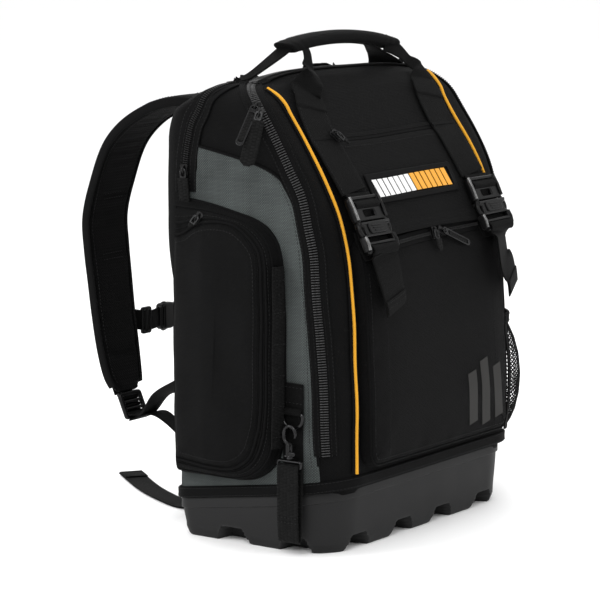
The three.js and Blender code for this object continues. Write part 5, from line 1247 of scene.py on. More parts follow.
def buckle(side, name):
    top, down, out = buckle_axes(side)
    middle = top + down * BUCKLE_LONG / 2
    axes = np.stack([ALONG_X, -down, out])

    def put(label, shapes, finish, nodes=()):
        make(f"buckle_{label}_{name}", [placed(s, middle, ALONG_X, out) for s in shapes], finish, nodes)

    def pair(spots, radius, count=None):
        lines = [mirrored(spots, s) for s in (-1, 1)]
        return [cordlike(curve_through(line, count=count) if count else line, radius, 8) for line in lines]

    # upper half: the plug, a bar for the webbing and two sprung arms
    plug = plate([rounded(54, 27, 4, 0, 15.2), rounded(45, 5.5, 1.2, 0, 22)[::-1],
                  rounded(20, 7, 2, 0, 10)[::-1]], 7.5, 1.4)
    bar = cross_bar(23.5, 0.6, 2.2, 10, 18.4, 6.2)
    arms = pair([(21, 6, 5.5), (24.5, 0, 5.8), (26.6, -5, 5.6), (25.8, -10, 5.4), (22, -14, 5.2)], 2.3, 14)
    rails = pair([(25.2, 28, 7.6), (25.4, 16, 8.6), (25.2, 3.5, 8.2)], 1.7)
    put("plug", [plug, bar, *arms, rails[1]], NYLON, f"buckle_{name}_upper")
    # The left rail, on the side the key light falls on, uses the lighter nylon: a painted highlight.
    put("rail", rails[:1], POLISHED_PAINTED_HIGHLIGHT)
    # lower half: the housing with side windows, a raised spine and the ladder for the webbing
    right = [(24, -29.2), (26.6, -28), (26.4, -14), (20.5, -12), (21, -5), (26.8, -3), (26, 0.5)]
    outline = np.array([(-x, y) for x, y in right[::-1]] + right)
    slots = [rounded(44, 5, 1.2, 0, -17.5)[::-1], rounded(44, 4.4, 1.2, 0, -25.3)[::-1]]
    housing = plate([outline, *slots], 9, 1.3)
    spine = shifted(plate([rounded(30, 11, 3, 0, -6.6)], 2.0, 0.8), z=8.6)
    lip = cross_bar(25, 0.8, 1.5, 8, -1.0, 8.6)
    foot_y, foot_z, wrap_radius = -28.4, 5.2, 4.2
    foot = cross_bar(24, 0.5, 3.0, 12, foot_y, foot_z)
    ribs = [plate([rounded(20 - 3 * k, 1.2, 0.5, 0, -4.2 - 2.6 * k)], 0.9, 0.3) for k in range(3)]
    ribs = [shifted(rib, z=10.4) for rib in ribs]
    low_rails = pair([(25.2, -14.5, 8.2), (25.4, -21, 8.8), (25.2, -28, 7.4)], 1.7)
    put("housing", [housing, spine, lip, foot, *ribs, low_rails[1]], NYLON, f"buckle_{name}_lower")
    # The left lower rail, too, uses the lighter nylon: a painted highlight.
    put("low_rail", low_rails[:1], POLISHED_PAINTED_HIGHLIGHT)
    # webbing rolled over the housing's foot and threaded through the plug
    t = np.radians(np.linspace(-80, 215, 22))
    wrap = wrap_radius * at_xyz(0.0, np.sin(t), np.cos(t))
    roll = (wrap + [0, foot_y, foot_z]) @ axes + middle
    make(f"buckle_roll_{name}", ribbon(roll, unit(wrap @ axes), WEB - 2, 1.6, cols=9), WEBBING)
    route = [(33, 0.6), (26, 2.6), (22, 6.4), (18.4, 9.0), (15.4, 6.0), (13, 2.6), (4, 1.6), (-24, 1.6)]
    through = ribbon(threaded(route, 40, axes, middle), out, WEB - 3, 1.5, cols=9)
    make(f"buckle_threading_{name}", through, WEBBING)


def buckle_tab(side, name):
    x, z = side * BUCKLE_X, FLAP_BOTTOM + np.array([8, 2, -6, -14, -20])
    on_pocket = pocket_sink(np.minimum(z, FLAP_BOTTOM), POCKET_DEPTH + 2)
    path = curve_through(at_xyz(x, front_y(x, z) - on_pocket - 2 * GAP, z), count=16)
    make(f"buckle_tab_cloth_{name}", ribbon(path, FRONTWARDS, 40, 1.8, cols=8), WEBBING, f"buckle_tab_{name}")


def front_tail(side, name):
    top, down, out = buckle_axes(side)
    start = top + down * (BUCKLE_LONG + 1.5) + out * 8.6
    t = np.linspace(0, 1, 26)
    fall, drift, turned = 65, 12 * t, 0.16 * t
    if side > 0:
        fall, turned = 72, 0.4 * ease(t * 6)
        drift = smooth_value([0, 0.3, 0.5, 0.72, 1], [0, 0, 1.5, 12, 17], t)
    x, z = side * BUCKLE_X + drift, start[2] - fall * t
    hang = pocket_face(0.8 * x, z) - 6 - 3.5 * np.sin(t * 2.6)
    path = at_xyz(x, start[1] + (hang - start[1]) * t**0.45, z)
    facing = unit(at_xyz(turned, -1.0, 0.05 * t))
    hem = slice(-7, -1)
    tail = ribbon(path, facing, WEB - 1, WEB_THICK, cols=9)
    fold = ribbon(path[hem] + facing[hem] * 1.7, facing[hem], WEB - 1.4, 1.5, cols=9)
    make(f"tail_cloth_{name}", [tail, fold], WEBBING, f"tail_{name}")
    for k in (-6, -4):
        across = unit(np.cross(direction(path)[k], facing[k]))
        stitch(path[k] + across * np.linspace(-19, 19, 12)[:, None] + facing[k] * 3.3, facing[k])


for side, name in SIDES:
    front_webbing(side, name)
    buckle(side, name)
    buckle_tab(side, name)
    front_tail(side, name)


# Piping

# for each side: its start as a share of the height, its end's x, then heights and distances
# from the middle
PIPING_LINE = {
    -1: (0.177, 150, [330, 350, 372, 398, 450, 466], [143, 144, 147.5, 150, 150, 149]),
    1: (0.2, 154, [330, 350, 366, 384, 400, 425, 442, 462, 476],
        [142, 141, 139.5, 137, 135.5, 134.5, 136.5, 142, 150]),
}
PIPING_LIFT = {-1: ([330], [4.0]), 1: ([330, 360, 400, 440], [5, 7, 6.4, 4.8])}


def piping(side, name):
    start, end, levels, distances = PIPING_LINE[side]
    share = np.array([start, 0.3, 0.42, 0.53, 0.62, 0.69, 0.735, 0.78, 0.83, 0.89, 0.935, 0.955, 0.975])
    z = share * HEIGHT
    x = side * np.interp(z, levels, distances)
    spots = drape(at_xyz(x, front_y(x, z), z), np.interp(z, *PIPING_LIFT[side]) + 1.4 * (share >= 0.95))
    last = drape(np.array([[side * end, 0, HEIGHT]], float), 6.6)
    path = curve_through(np.concatenate([spots, last]), step=3)
    make(f"piping_cord_{name}", cordlike(path, 1.7, 10), PIPING, f"piping_{name}")
    flange = ribbon(drape(path, 1.0), unit(body_slope(path)), 9, 1.6, cols=5)
    make(f"piping_flange_{name}", flange, BINDING)


for side, name in SIDES:
    piping(side, name)


# Zips that follow the body, with their sliders

# x, y and z as shares of half the width, of the depth and of the height
MAIN_ZIP = [
    (0.95, -0.445, 0.222), (0.96, -0.438, 0.31), (0.96, -0.427, 0.413), (0.97, -0.402, 0.53), (0.98, -0.39, 0.64),
    (0.98, -0.36, 0.7), (0.98, -0.32, 0.77), (0.99, -0.245, 0.83), (0.99, -0.13, 0.91), (0.97, -0.03, 0.965),
    (0.91, 0.05, 0.99), (0.82, 0.1, 1.005), (0.6, 0.14, 1.01), (0.3, 0.15, 1.016), (0.0, 0.15, 1.018),
]
BACK_ZIP = [
    (1.0, 0.405, 0.768), (1.0, 0.405, 0.81), (1.0, 0.395, 0.86), (1.0, 0.36, 0.915), (0.99, 0.31, 0.948),
    (0.95, 0.285, 0.972), (0.86, 0.295, 0.985), (0.5, 0.3, 1.0), (0.0, 0.3, 1.008),
]


def body_line(rows):
    """A line over the body from its left side; the right side ends at half of the height."""
    left = [(-x, y, z) for x, y, z in rows]
    right = [(x, y, z) for x, y, z in reversed(rows[:-1]) if z > 0.5]
    spots = drape(np.array(left + right) * [WIDTH / 2, DEPTH, HEIGHT], 1.0)
    path = drape(curve_through(spots, step=3), 1.3)
    return path, unit(body_slope(path))


def round_zip(name, rows, tooth, pitch, finish, apart):
    tape = 15
    path, up = body_line(rows)
    make(f"{name}_tape", ribbon(path, up, tape, 1.2, cols=8), TAPE, name)
    across = unit(np.cross(direction(path), up))
    for side, label in ((-1, "front"), (1, "back")):
        start = evenly(path + up * 1.9, step=pitch / 2)
        near = np.abs(start[:, None] - path[None]).sum(-1).argmin(1)
        set_along(f"{name}_teeth_{label}", TOOTH_TREE, [(start, up[near])], finish, pitch,
                  (pitch * 0.45, tooth, 1.9), side=side * (tooth / 2 - 0.1))
        stitch(drape(path + across * side * tape * 0.41, 2.7), up)
        fold = drape(path + across * side * (tape / 2 + apart), 0.6)
        make(f"{name}_fold_{label}", ribbon(fold, unit(body_slope(fold)), 6.5, 1.9, cols=5), BLACK_CLOTH)
        stitch(drape(path + across * side * (tape / 2 + apart + 1.8), 2.5), up)


def framed_pull(wide, long, start):
    """A steel frame with a ribbed tongue."""
    middle = start - long / 2 - 2.4
    ring = plate([rounded(wide, long, wide * 0.45, 0, start - long / 2),
                  rounded(wide - 3.4, long - 12, 2, 0, middle)[::-1],
                  rounded(wide - 3.4, 3.2, 1.4, 0, start - 3.2)[::-1]], 1.8, 0.6)
    tongue = shifted(plate([rounded(wide - 3.2, long - 16, 1.6, 0, middle)], 1.2, 0.3), z=0.3)
    return [(ring, STEEL, "frame"), (tongue, RIBBED, "tongue")]


def ribbed_pull(wide, long, start):
    """A steel link with a ribbed strip."""
    link = plate([rounded(8, 12, 3.4, 0, -3.4), rounded(4.2, 6.6, 1.8, 0, -3.4)[::-1]], 1.6, 0.6)
    run = np.linspace(start - 9, start - long, int(long))
    path = at_xyz(0, run, 0.5 + 0.6 * np.sin((run - run[0]) * 0.09))
    ribs = 1.7 + 0.55 * np.abs(np.sin((run - run[0]) * math.pi / 3.4))
    tip = np.clip((run - run[-1]) / 3.5, 0.25, 1) ** 0.5
    return [(link, STEEL, "link"), (ribbon(path, (0, 0, 1), wide * tip, ribs, cols=7), RIBBED, "strip")]


def zip_slider(name, node, at, up, lean, pull, size):
    """Slider with its bridge and its pull, which hangs downwards and leans to one side."""
    up = unit(np.asarray(up, float))
    across = unit(np.cross(UPWARDS, up))
    across = across * math.cos(lean) + np.cross(up, across) * math.sin(lean)
    base = np.array([(-3.2, -6.6), (3.2, -6.6), (4.4, -3), (3.6, 1), (4.8, 5.4), (2.4, 7), (-2.4, 7), (-4.8, 5.4),
                     (-3.6, 1), (-4.4, -3)])
    top = shifted(plate([base], 1.5, 0.5), z=1.1)
    low = shifted(plate([base * 0.96], 1.2, 0.4), z=-1.6)
    arch = [(0, 5.2, 2.2), (0, 3.2, 4.4), (0, -1.4, 4.6), (0, -3.6, 2.2)]
    bridge = cordlike(curve_through(arch, count=12), 1.0, 8)
    make(f"{name}_slider", placed(merged([top, low, bridge]), at, across, up), NYLON, node)
    for shape, finish, label in pull(*size, 1.2):
        make(f"{name}_{label}", placed(shifted(shape, z=3.4), at, across, up), finish)


def on_left_zip(rows, share):
    """A place on a zip's left side at a share of the height, and which way is up there."""
    table = np.array(rows)[:11]
    y = smooth_value(table[:, 2], table[:, 1], share) * DEPTH
    at = drape(np.array([[-WIDTH / 2, y, share * HEIGHT]]), 2.6)
    return at[0], unit(body_slope(at))[0]


# The main zip's lighter teeth are a painted highlight.
round_zip("main_zip", MAIN_ZIP, 4.3, 2.7, MAIN_TEETH_PAINTED_HIGHLIGHT, 1.6)
round_zip("back_zip", BACK_ZIP, 3.2, 2.3, TEETH, 2.6)
for name, rows, share, aside, lean, pull, size in (
    ("main_pull_rear", MAIN_ZIP, 0.96, 0, -0.3, framed_pull, (9, 48)),
    ("main_pull_front", MAIN_ZIP, 0.945, -1.5, -0.2, ribbed_pull, (16, 58)),
    ("back_pull", BACK_ZIP, 0.815, 0, 0.08, ribbed_pull, (13, 42)),
):
    at, up = on_left_zip(rows, share)
    zip_slider(name, name, at + ALONG_X * aside, up, lean, pull, size)
for name, x, lean, pull, size in (
    ("front_pull_inner", 3, -0.15, ribbed_pull, (10, 22)),
    ("front_pull_outer", 18, 1.15, framed_pull, (8, 46)),
):
    z = pocket_zip_level(x)
    up = unit(np.array(POCKET_ZIP_FACING))
    zip_slider(name, name, at_xyz(x, pocket_face(x, z) - 1.6, z) + up * 2.6, up, lean, pull, size)
x, z = -103.0, 419.0
up = unit(np.array(CROSS_ZIP_FACING))
zip_slider("cross_pull", "upper_zip", at_xyz(x, front_y(x, z), z) + up * 7.4, up, 0.5, ribbed_pull, (6, 15))


# Side pocket on the left, with its zip and the ribbed webbing on its front gusset

# y and z along the pocket's foot and along its face's edge: over the top, down the front, along the
# bottom and up the back
SIDE_FOOT = [
    [(86, 359), (68, 357), (40, 353), (12, 347), (-9, 342), (-24, 334), (-34, 322), (-39, 309), (-42, 293)],
    [(-42, 293), (-44, 240), (-45, 184), (-44, 135), (-42, 112)],
    [(-42, 112), (-37, 98), (-25, 85), (-8, 76), (13, 73), (39, 73), (86, 72)],
    [(86, 72), (87, 200), (86, 359)],
]
SIDE_RIM = [
    [(84, 321), (70, 325), (58, 333), (44, 338), (25, 340.5), (4, 338.5), (-14, 328), (-26, 314), (-30, 296)],
    [(-30, 296), (-31, 236), (-31, 175), (-30.5, 150), (-29, 132)],
    [(-29, 132), (-20, 107), (-7, 94), (10, 87), (36, 86), (60, 87), (84, 88)],
    [(84, 88), (85, 200), (84, 321)],
]
SIDE_COUNTS, SIDE_OPEN = (70, 50, 60, 40), 179
SIDE_SPINE = (24, 150, 280)
# share across the rings, height off the body
SIDE_PROFILE = [
    (-0.02, 0), (0, 3), (0.04, 7), (0.12, 12), (0.3, 16), (0.55, 18.6), (0.8, 20.2), (0.97, 20.8), (1.03, 21.4),
    (1.06, 23.6), (1.1, 25), (1.2, 26.2), (1.5, 27.2), (1.97, 28),
]


def side_outline(pieces):
    return np.concatenate([curve_through(p, count=n)[:-1] for p, n in zip(pieces, SIDE_COUNTS)])


def side_pocket_at(y, z, height):
    sink = height * (1 - 0.28 * np.clip((y - 40) / 50, 0, 1))
    return at_xyz(-side_x(np.minimum(y, 80), z) - 2.1 - sink, y, z)


def side_ring(share, height):
    """Ring from the pocket's foot (0) over its zip (1) to its middle (2)."""
    foot, rim = side_outline(SIDE_FOOT), side_outline(SIDE_RIM)
    if share <= 1:
        line = foot + (rim - foot) * share
    else:
        middle = at_xyz(0 * rim[:, 0] + SIDE_SPINE[0], np.clip(rim[:, 1], *SIDE_SPINE[1:]), 0)[:, :2]
        line = rim + (middle - rim) * (share - 1)
    return side_pocket_at(line[:, 0], line[:, 1], height)


def side_height(share):
    return float(np.interp(share, *zip(*SIDE_PROFILE)))


def side_row(share, lift):
    """An open line along a ring, from the pocket's back edge over its top and down its front."""
    line = side_ring(share, side_height(share) + lift)[:SIDE_OPEN]
    return evenly(line[line[:, 1] < 84], step=3)


def side_pocket():
    spans = ((-0.02, 0.9, 22), (0.94, 1.14, 11), (1.2, 1.97, 10))
    shares = np.concatenate([np.linspace(*span) for span in spans])
    rings = []
    for share in shares:
        ring = side_ring(share, side_height(share))
        pucker = 0.5 * puckers(len(ring), 41, 27) * bell(share - 0.75, 0.3)
        fold = 0.8 * np.sin(ring[:, 2] * 0.045 + 1.0) * np.sin(ring[:, 1] * 0.06) * ease((share - 1.1) / 0.3)
        ring[:, 0] -= pucker + fold
        rings.append(ring)
    make("side_pocket_cloth", loft(np.stack(rings)), BLACK_CLOTH, "side_pocket")
    # the zip: a reversed coil, so two smooth ridges with a seam between them
    make("side_zip_ridge_0", cordlike(side_row(0.62, 0.6), 1.5, 8), TAPE)
    make("side_zip_ridge_1", cordlike(side_row(0.96, 0.7), 1.6, 8), TAPE, "side_pocket_zip")
    make("side_zip_seam", cordlike(side_row(0.79, 0.2), 0.8, 6), TAPE)
    for share in (0.45, 1.12):
        stitch(side_row(share, 0.8), LEFTWARDS)
    for label, share, height, radius, sides in (("binding", 0, 1.2, 2.3, 8), ("seam", 0.16, 13.8, 1.1, 6)):
        edge = evenly(looped(side_ring(share, height)), step=4)
        make(f"side_pocket_{label}", cordlike(edge, radius, sides), BINDING)
    at = side_pocket_at(50.0, 342.0, 20.5)
    zip_slider("side_pull", (), at, (-0.9, -0.1, 0.45), -0.5, ribbed_pull, (6, 14))


def daisy_webbing():
    up = unit(np.array([-3.6, -11.0, 0.0]))
    z = np.linspace(112, 298, 94)
    start = np.array([-190.6, -46.0, 0]) + unit(np.array([-11, 3.6, 0.0])) * 6 + up * 0.6
    path = start + at_xyz(0, 0, z)
    ribs = 1.6 + 0.7 * np.sin(z * 2 * math.pi / 4)
    make("daisy_webbing_cloth", ribbon(path, up, 15, ribs, cols=5), RIBBED, "daisy_webbing")
    across = unit(np.cross(UPWARDS, up))
    for level in path[6::16]:
        stitch(level + up * 2.2 + across * np.linspace(-6, 6, 8)[:, None], up)


side_pocket()
daisy_webbing()


# Net pocket on the right

NET_SHAPE = ([0, 0.06, 0.15, 0.3, 0.5, 0.7, 0.85, 0.94, 1], [0.05, 0.42, 0.74, 0.96, 1, 0.9, 0.64, 0.36, 0.14])
NET_LOW, NET_HIGH, NET_START, NET_END, NET_BULGE = 86, 200, 147, 318, 22


def net_at(u, v, lift):
    shape = np.interp(v, *NET_SHAPE) * np.maximum(np.sin(math.pi * np.clip(u, 0, 1)), 0) ** 0.4
    z = NET_LOW + (NET_HIGH - NET_LOW) * v
    return round_body(z, NET_START + (NET_END - NET_START) * u, 2.1 + NET_BULGE * shape + lift)


def net_pocket():
    wide, high, hole = NET_END - NET_START, NET_HIGH - NET_LOW, 4.6
    strands = []
    run = np.arange(0, high + 2, 2.3)
    for family in (1, -1):
        for start in np.arange(-high, wide, hole):
            across = start + run if family > 0 else wide - start - run
            inside = (across > -0.5) & (across < wide + 0.5) & (run <= high)
            if inside.sum() < 3:
                continue
            a, b = across[inside], run[inside]
            wave = 0.8 * np.sin(b * 2 * math.pi / hole) * family
            path = net_at(np.clip((a + wave) / wide, 0, 1), b / high, 0.45 * family)
            strands.append(cordlike(path, 0.66, 3))
    make("net_cords", strands, NET, "mesh_pocket")
    u = np.linspace(0, 1, 90)
    hem = net_at(u, 1.0, 0.2) + [0, 0, 6]
    out = unit((hem - round_body(hem[:, 2] - 9, NET_START + wide * u, -20)) * [1, 1, 0])
    gathers = 2.1 + 0.5 * np.sin(u * 2 * math.pi * 24)
    make("net_hem", ribbon(hem, out, 12.5, gathers, cols=7), BINDING,
         ("mesh_pocket_hem_front", "mesh_pocket_hem_side"))
    for off in (-3.6, 3.6):
        stitch(hem + np.array([0, 0, off]) + out * 2.8, out)
    v = np.linspace(0, 1, 40)
    for label, path, thick in (
        ("edge_front", net_at(0.006, v, 0.4), 1.5),
        ("edge_back", net_at(0.994, v, 0.4), 1.5),
        ("foot", net_at(u, 0.01, 0.2), 1.4),
    ):
        make(f"net_{label}", ribbon(path, unit(body_slope(path)), 9, thick, cols=5), BINDING)


net_pocket()


# Carry handle

def sleeve(path, up, half_width, half_height, sides=32, square=0.8):
    """Closed padded tube along a path, with a squarish round section."""
    tangent = direction(path)
    across = unit(np.cross(tangent, np.broadcast_to(np.asarray(up, float), path.shape)))
    up = unit(np.cross(across, tangent))
    angle = np.linspace(0, 2 * math.pi, sides, endpoint=False)
    a, b = (np.sign(part) * np.abs(part) ** square for part in (np.cos(angle), np.sin(angle)))
    wide, high = each(half_width, path)[..., None], each(half_height, path)[..., None]
    rings = path[:, None] + across[:, None] * a[:, None] * wide + up[:, None] * b[:, None] * high
    return loft(rings, np.stack(np.broadcast_arrays(angle[None] * 12, run_length(path)[:, None]), -1))


# for each side: the rear leg's places from inside the grip, its width there, and how much and how
# fast that changes
REAR_LEGS = {
    -1: ([(-92, 15.5, 513), (-103, 16.5, 507), (-125, 24, 493), (-137.5, 32, 483.5), (-146, 40, 478)],
         19, -8, 1.15),
    1: ([(46, 15.5, 512), (57, 16, 506.5), (90, 27, 496.5), (116, 36, 488.5), (127, 40, 484)],
        14, 26, 1.1),
}


def grip_height(x):
    return 519.3 - 10 * (np.abs(x) / 100) ** 2 - 0.026 * x


def handle_grip():
    x = np.linspace(-100, 101, 90)
    path = at_xyz(x, 15, grip_height(x))
    near_end = np.clip((100.5 - np.abs(x)) / 5, 0, 1)
    rise = 0.8 + 0.2 * np.sqrt(1 - (1 - near_end) ** 2)
    gather = 1 + 0.02 * np.sin(x * 0.55) * np.clip((np.abs(x) - 55) / 30, 0, 1)
    slim = 1 - 0.14 * ease((np.abs(x) - 62) / 36)
    grip = sleeve(path, (0, 0, 1), 13 * rise * gather, 7 * rise * gather * slim)
    points = grip[0]
    slant = ease((-58 - points[:, 0]) / 36)
    points[:, 0] -= 1.3 * slant * (points[:, 2] - grip_height(points[:, 0]))
    make("handle_grip_cloth", grip, BLACK_CLOTH, "handle_grip", soft=False)
    sewn = path[9:-6]
    make("handle_seam", ribbon(sewn + [0, 2.0, -6.4], (0, 0, -1), 9, 1.3, cols=5), BINDING, soft=False)
    for off in (-10.4, 10.4):
        stitch(sewn + [0, off, 5.2], (0, off / 14, 0.75))


def rear_leg(side, name):
    """Webbing from inside the grip down to the top's rear corner."""
    spots, start_wide, change, rate = REAR_LEGS[side]
    share = np.linspace(0, 1, 34)
    foot = drape(np.array([spots[-1]], float), 1.6)[0]
    past = drape(np.array([foot + [side * 9, 7, -3]], float), 1.6)[0]
    leg = curve_through(np.array(spots[:-1] + [foot, past]), count=len(share))
    lean = unit(np.array([side * 0.6, 0, 0.8]))
    ups = unit(lean + ease((share - 0.7) / 0.25)[:, None] * (unit(body_slope(leg)) - lean))
    cloth = ribbon(leg, ups, start_wide + change * ease(share * rate), 2.4, cols=7)
    make(f"handle_rear_leg_{name}", cloth, WEBBING, f"handle_rear_{name}", soft=False)


handle_grip()
for side, name in SIDES:
    rear_leg(side, name)


# Padded parts: blown up by cloth simulation

def inflated(shape, held, cap):
    """A closed pad blown up by cloth simulation, by no more than a cap. Points that held() picks stay."""
    mesh = bpy.data.meshes.new("pad_work")
    mesh.from_pydata((shape[0] / 1000).tolist(), [], shape[1])
    work = bpy.data.objects.new("pad_work", mesh)
    scene.collection.objects.link(work)
    even = work.modifiers.new("even", "REMESH")
    even.mode = "VOXEL"
    even.voxel_size = 0.005
    finer = bpy.data.meshes.new_from_object(work.evaluated_get(bpy.context.evaluated_depsgraph_get()))
    work.modifiers.clear()
    work.data = finer
    start = np.array([v.co for v in finer.vertices], float)
    shift = np.zeros_like(start)
    group_held = work.vertex_groups.new(name="held")
    picked = [int(i) for i in np.nonzero(held(start * 1000))[0]]
    group_held.add(picked, 1.0, "REPLACE")
    air = work.modifiers.new("air", "CLOTH")
    air.settings.quality = 5
    air.settings.mass = 0.3
    air.settings.use_pressure = True
    air.settings.uniform_pressure_force = 4.0
    air.settings.effector_weights.gravity = 0
    air.settings.vertex_group_mass = "held"
    air.point_cache.frame_start, air.point_cache.frame_end = 1, 20
    for number in range(1, 21):
        scene.frame_set(number)
    puffed = work.evaluated_get(bpy.context.evaluated_depsgraph_get()).data
    shift = np.array([v.co for v in puffed.vertices], float) - start
    work.modifiers.clear()
    scene.frame_set(1)
    length = np.linalg.norm(shift, axis=1, keepdims=True)
    moved = start + shift * np.minimum(1, cap / 1000 / np.maximum(length, 1e-9))
    finer.vertices.foreach_set("co", moved.astype(np.float32).ravel())
    smooth = work.modifiers.new("smooth", "SUBSURF")
    smooth.levels = smooth.render_levels = 1
    done = bpy.data.meshes.new_from_object(work.evaluated_get(bpy.context.evaluated_depsgraph_get()))
    points = np.array([v.co for v in done.vertices], float) * 1000
    faces = [tuple(f.vertices) for f in done.polygons]
    bpy.data.objects.remove(work)
    return outward(points, faces)


def normals_of(points, faces):
    """Normals of the points and of the faces."""
    quads = np.array([f if len(f) == 4 else f + f[-1:] for f in faces])
    a, b, c, d = (points[quads[:, k]] for k in range(4))
    face = np.cross(c - a, d - b)
    total = np.zeros_like(points)
    for k in range(4):
        np.add.at(total, quads[:, k], face)
    return unit(total), unit(face)


def skin(points, faces, normal, picked, lift, thick):
    """A thin closed cover over the picked faces of a shape."""
    chosen = [faces[i] for i in np.nonzero(picked)[0]]
    used = sorted({v for f in chosen for v in f})
    place = {v: k for k, v in enumerate(used)}
    count = len(used)
    edges = {(a, b) for f in chosen for a, b in zip(f, f[1:] + f[:1])}
    in_order = dict.fromkeys((a, b) for f in chosen for a, b in zip(f, f[1:] + f[:1]))
    rim = [(place[a], place[b]) for a, b in in_order if (b, a) not in edges]
    top = [tuple(place[v] for v in f) for f in chosen]
    low = [tuple(v + count for v in reversed(f)) for f in top]
    wall = [(b, a, a + count, b + count) for a, b in rim]
    base, out = points[used], normal[used]
    return outward(np.concatenate([base + out * (lift + thick), base + out * lift]), top + low + wall)


# left, right, low and high
BACK_PADS = {"left": (-131, -13, 151, 402), "right": (13, 131, 151, 402), "lumbar": (-131, 131, 63, 139)}


def back_at(x, z, height):
    return at_xyz(x, section(z)[2] + GAP + height, z)


def back_pad(name, left, right, low, high):
    corners = four_corners(left, right, low, high, 16)
    middle = min(right - left, high - low) / 2 - 3

    def border(p):
        x, z = p[:, 0], p[:, 2]
        return np.minimum(np.minimum(x - left, right - x), np.minimum(z - low, high - z))

    def held(p):
        return (border(p) < 7) | (p[:, 1] < section(p[:, 2])[2] + 2.0)

    profile = [(0, 0), (0.4, 2.4), (2, 4.4), (6, 5.8), (14, 6.6), (middle, 6.8)]
    points, faces, _ = inflated(bag_pocket(corners, profile, back_at, 0.0), held, 5.0)
    # dents where the quilting's rows press it in
    rows, columns = np.arange(low + 32, high - 16, 31.0), ()
    if name == "lumbar":
        rows, columns = np.array([101.0]), (-66, 0, 66)
    press = sum(bell(points[:, 2] - z, 3.4) for z in rows) + sum(bell(points[:, 0] - x, 3.4) for x in columns)
    rise = points[:, 1] - section(points[:, 2])[2]
    near = np.clip((rise - 2) / 5, 0, 1) * np.clip(border(points) / 12, 0, 1)
    points[:, 1] -= 2.6 * np.minimum(press, 1) * near
    pad = make(f"back_pad_mesh_{name}", (points, faces, None), AIR_MESH, f"back_pad_{name}", soft=False)
    ring = evenly(looped(back_at(*soft_outline(corners, -0.6).T, 1.6)), step=5)
    make(f"back_pad_binding_{name}", cordlike(ring, 2.1, 8), BINDING, soft=False)
    stitch(back_at(*soft_outline(corners, 5).T, 6.3), BACKWARDS)
    x = np.linspace(left + 12, right - 12, 30)
    for z in rows:
        stitch(back_at(x, z, 5.0), BACKWARDS)


for name, box in BACK_PADS.items():
    back_pad(name, *box)


# Shoulder straps

# depth and height as shares of the strap's bow, and its share of the full width
STRAP_TABLE = np.array([
    (-0.045, 0.957, 0.82), (0.04, 0.973, 0.84), (0.22, 0.973, 0.86), (0.44, 0.943, 0.87), (0.645, 0.888, 0.87),
    (0.805, 0.81, 0.87), (0.93, 0.69, 0.88), (0.995, 0.58, 0.88), (0.985, 0.48, 0.88), (0.957, 0.37, 0.86),
    (0.928, 0.26, 0.84), (0.89, 0.15, 0.81), (0.85, 0.064, 0.72), (0.803, 0.01, 0.54),
])
STRAP_WIDE, STRAP_HALF, STRAP_TACKS = 76, 5.4, (212, 282, 392)


def strap_line(side):
    """The strap's path from its top, which way is up there and its width."""
    deep, high, wide = STRAP_TABLE.T
    path = curve_through(at_xyz(wide * 100, 100 + 158 * deep, 124 + 338 * high), step=4)
    width = STRAP_WIDE * path[:, 0] / 100
    path[:, 0] = side * (100 + 6 * ease((path[:, 2] - 350) / 80))
    return path, unit(np.cross(ALONG_X, direction(path))), width


def lock_place(side):
    path, _, _ = strap_line(side)
    along = unit(path[-1] - path[-3])
    return path[-1], along, unit(np.cross(ALONG_X, along))


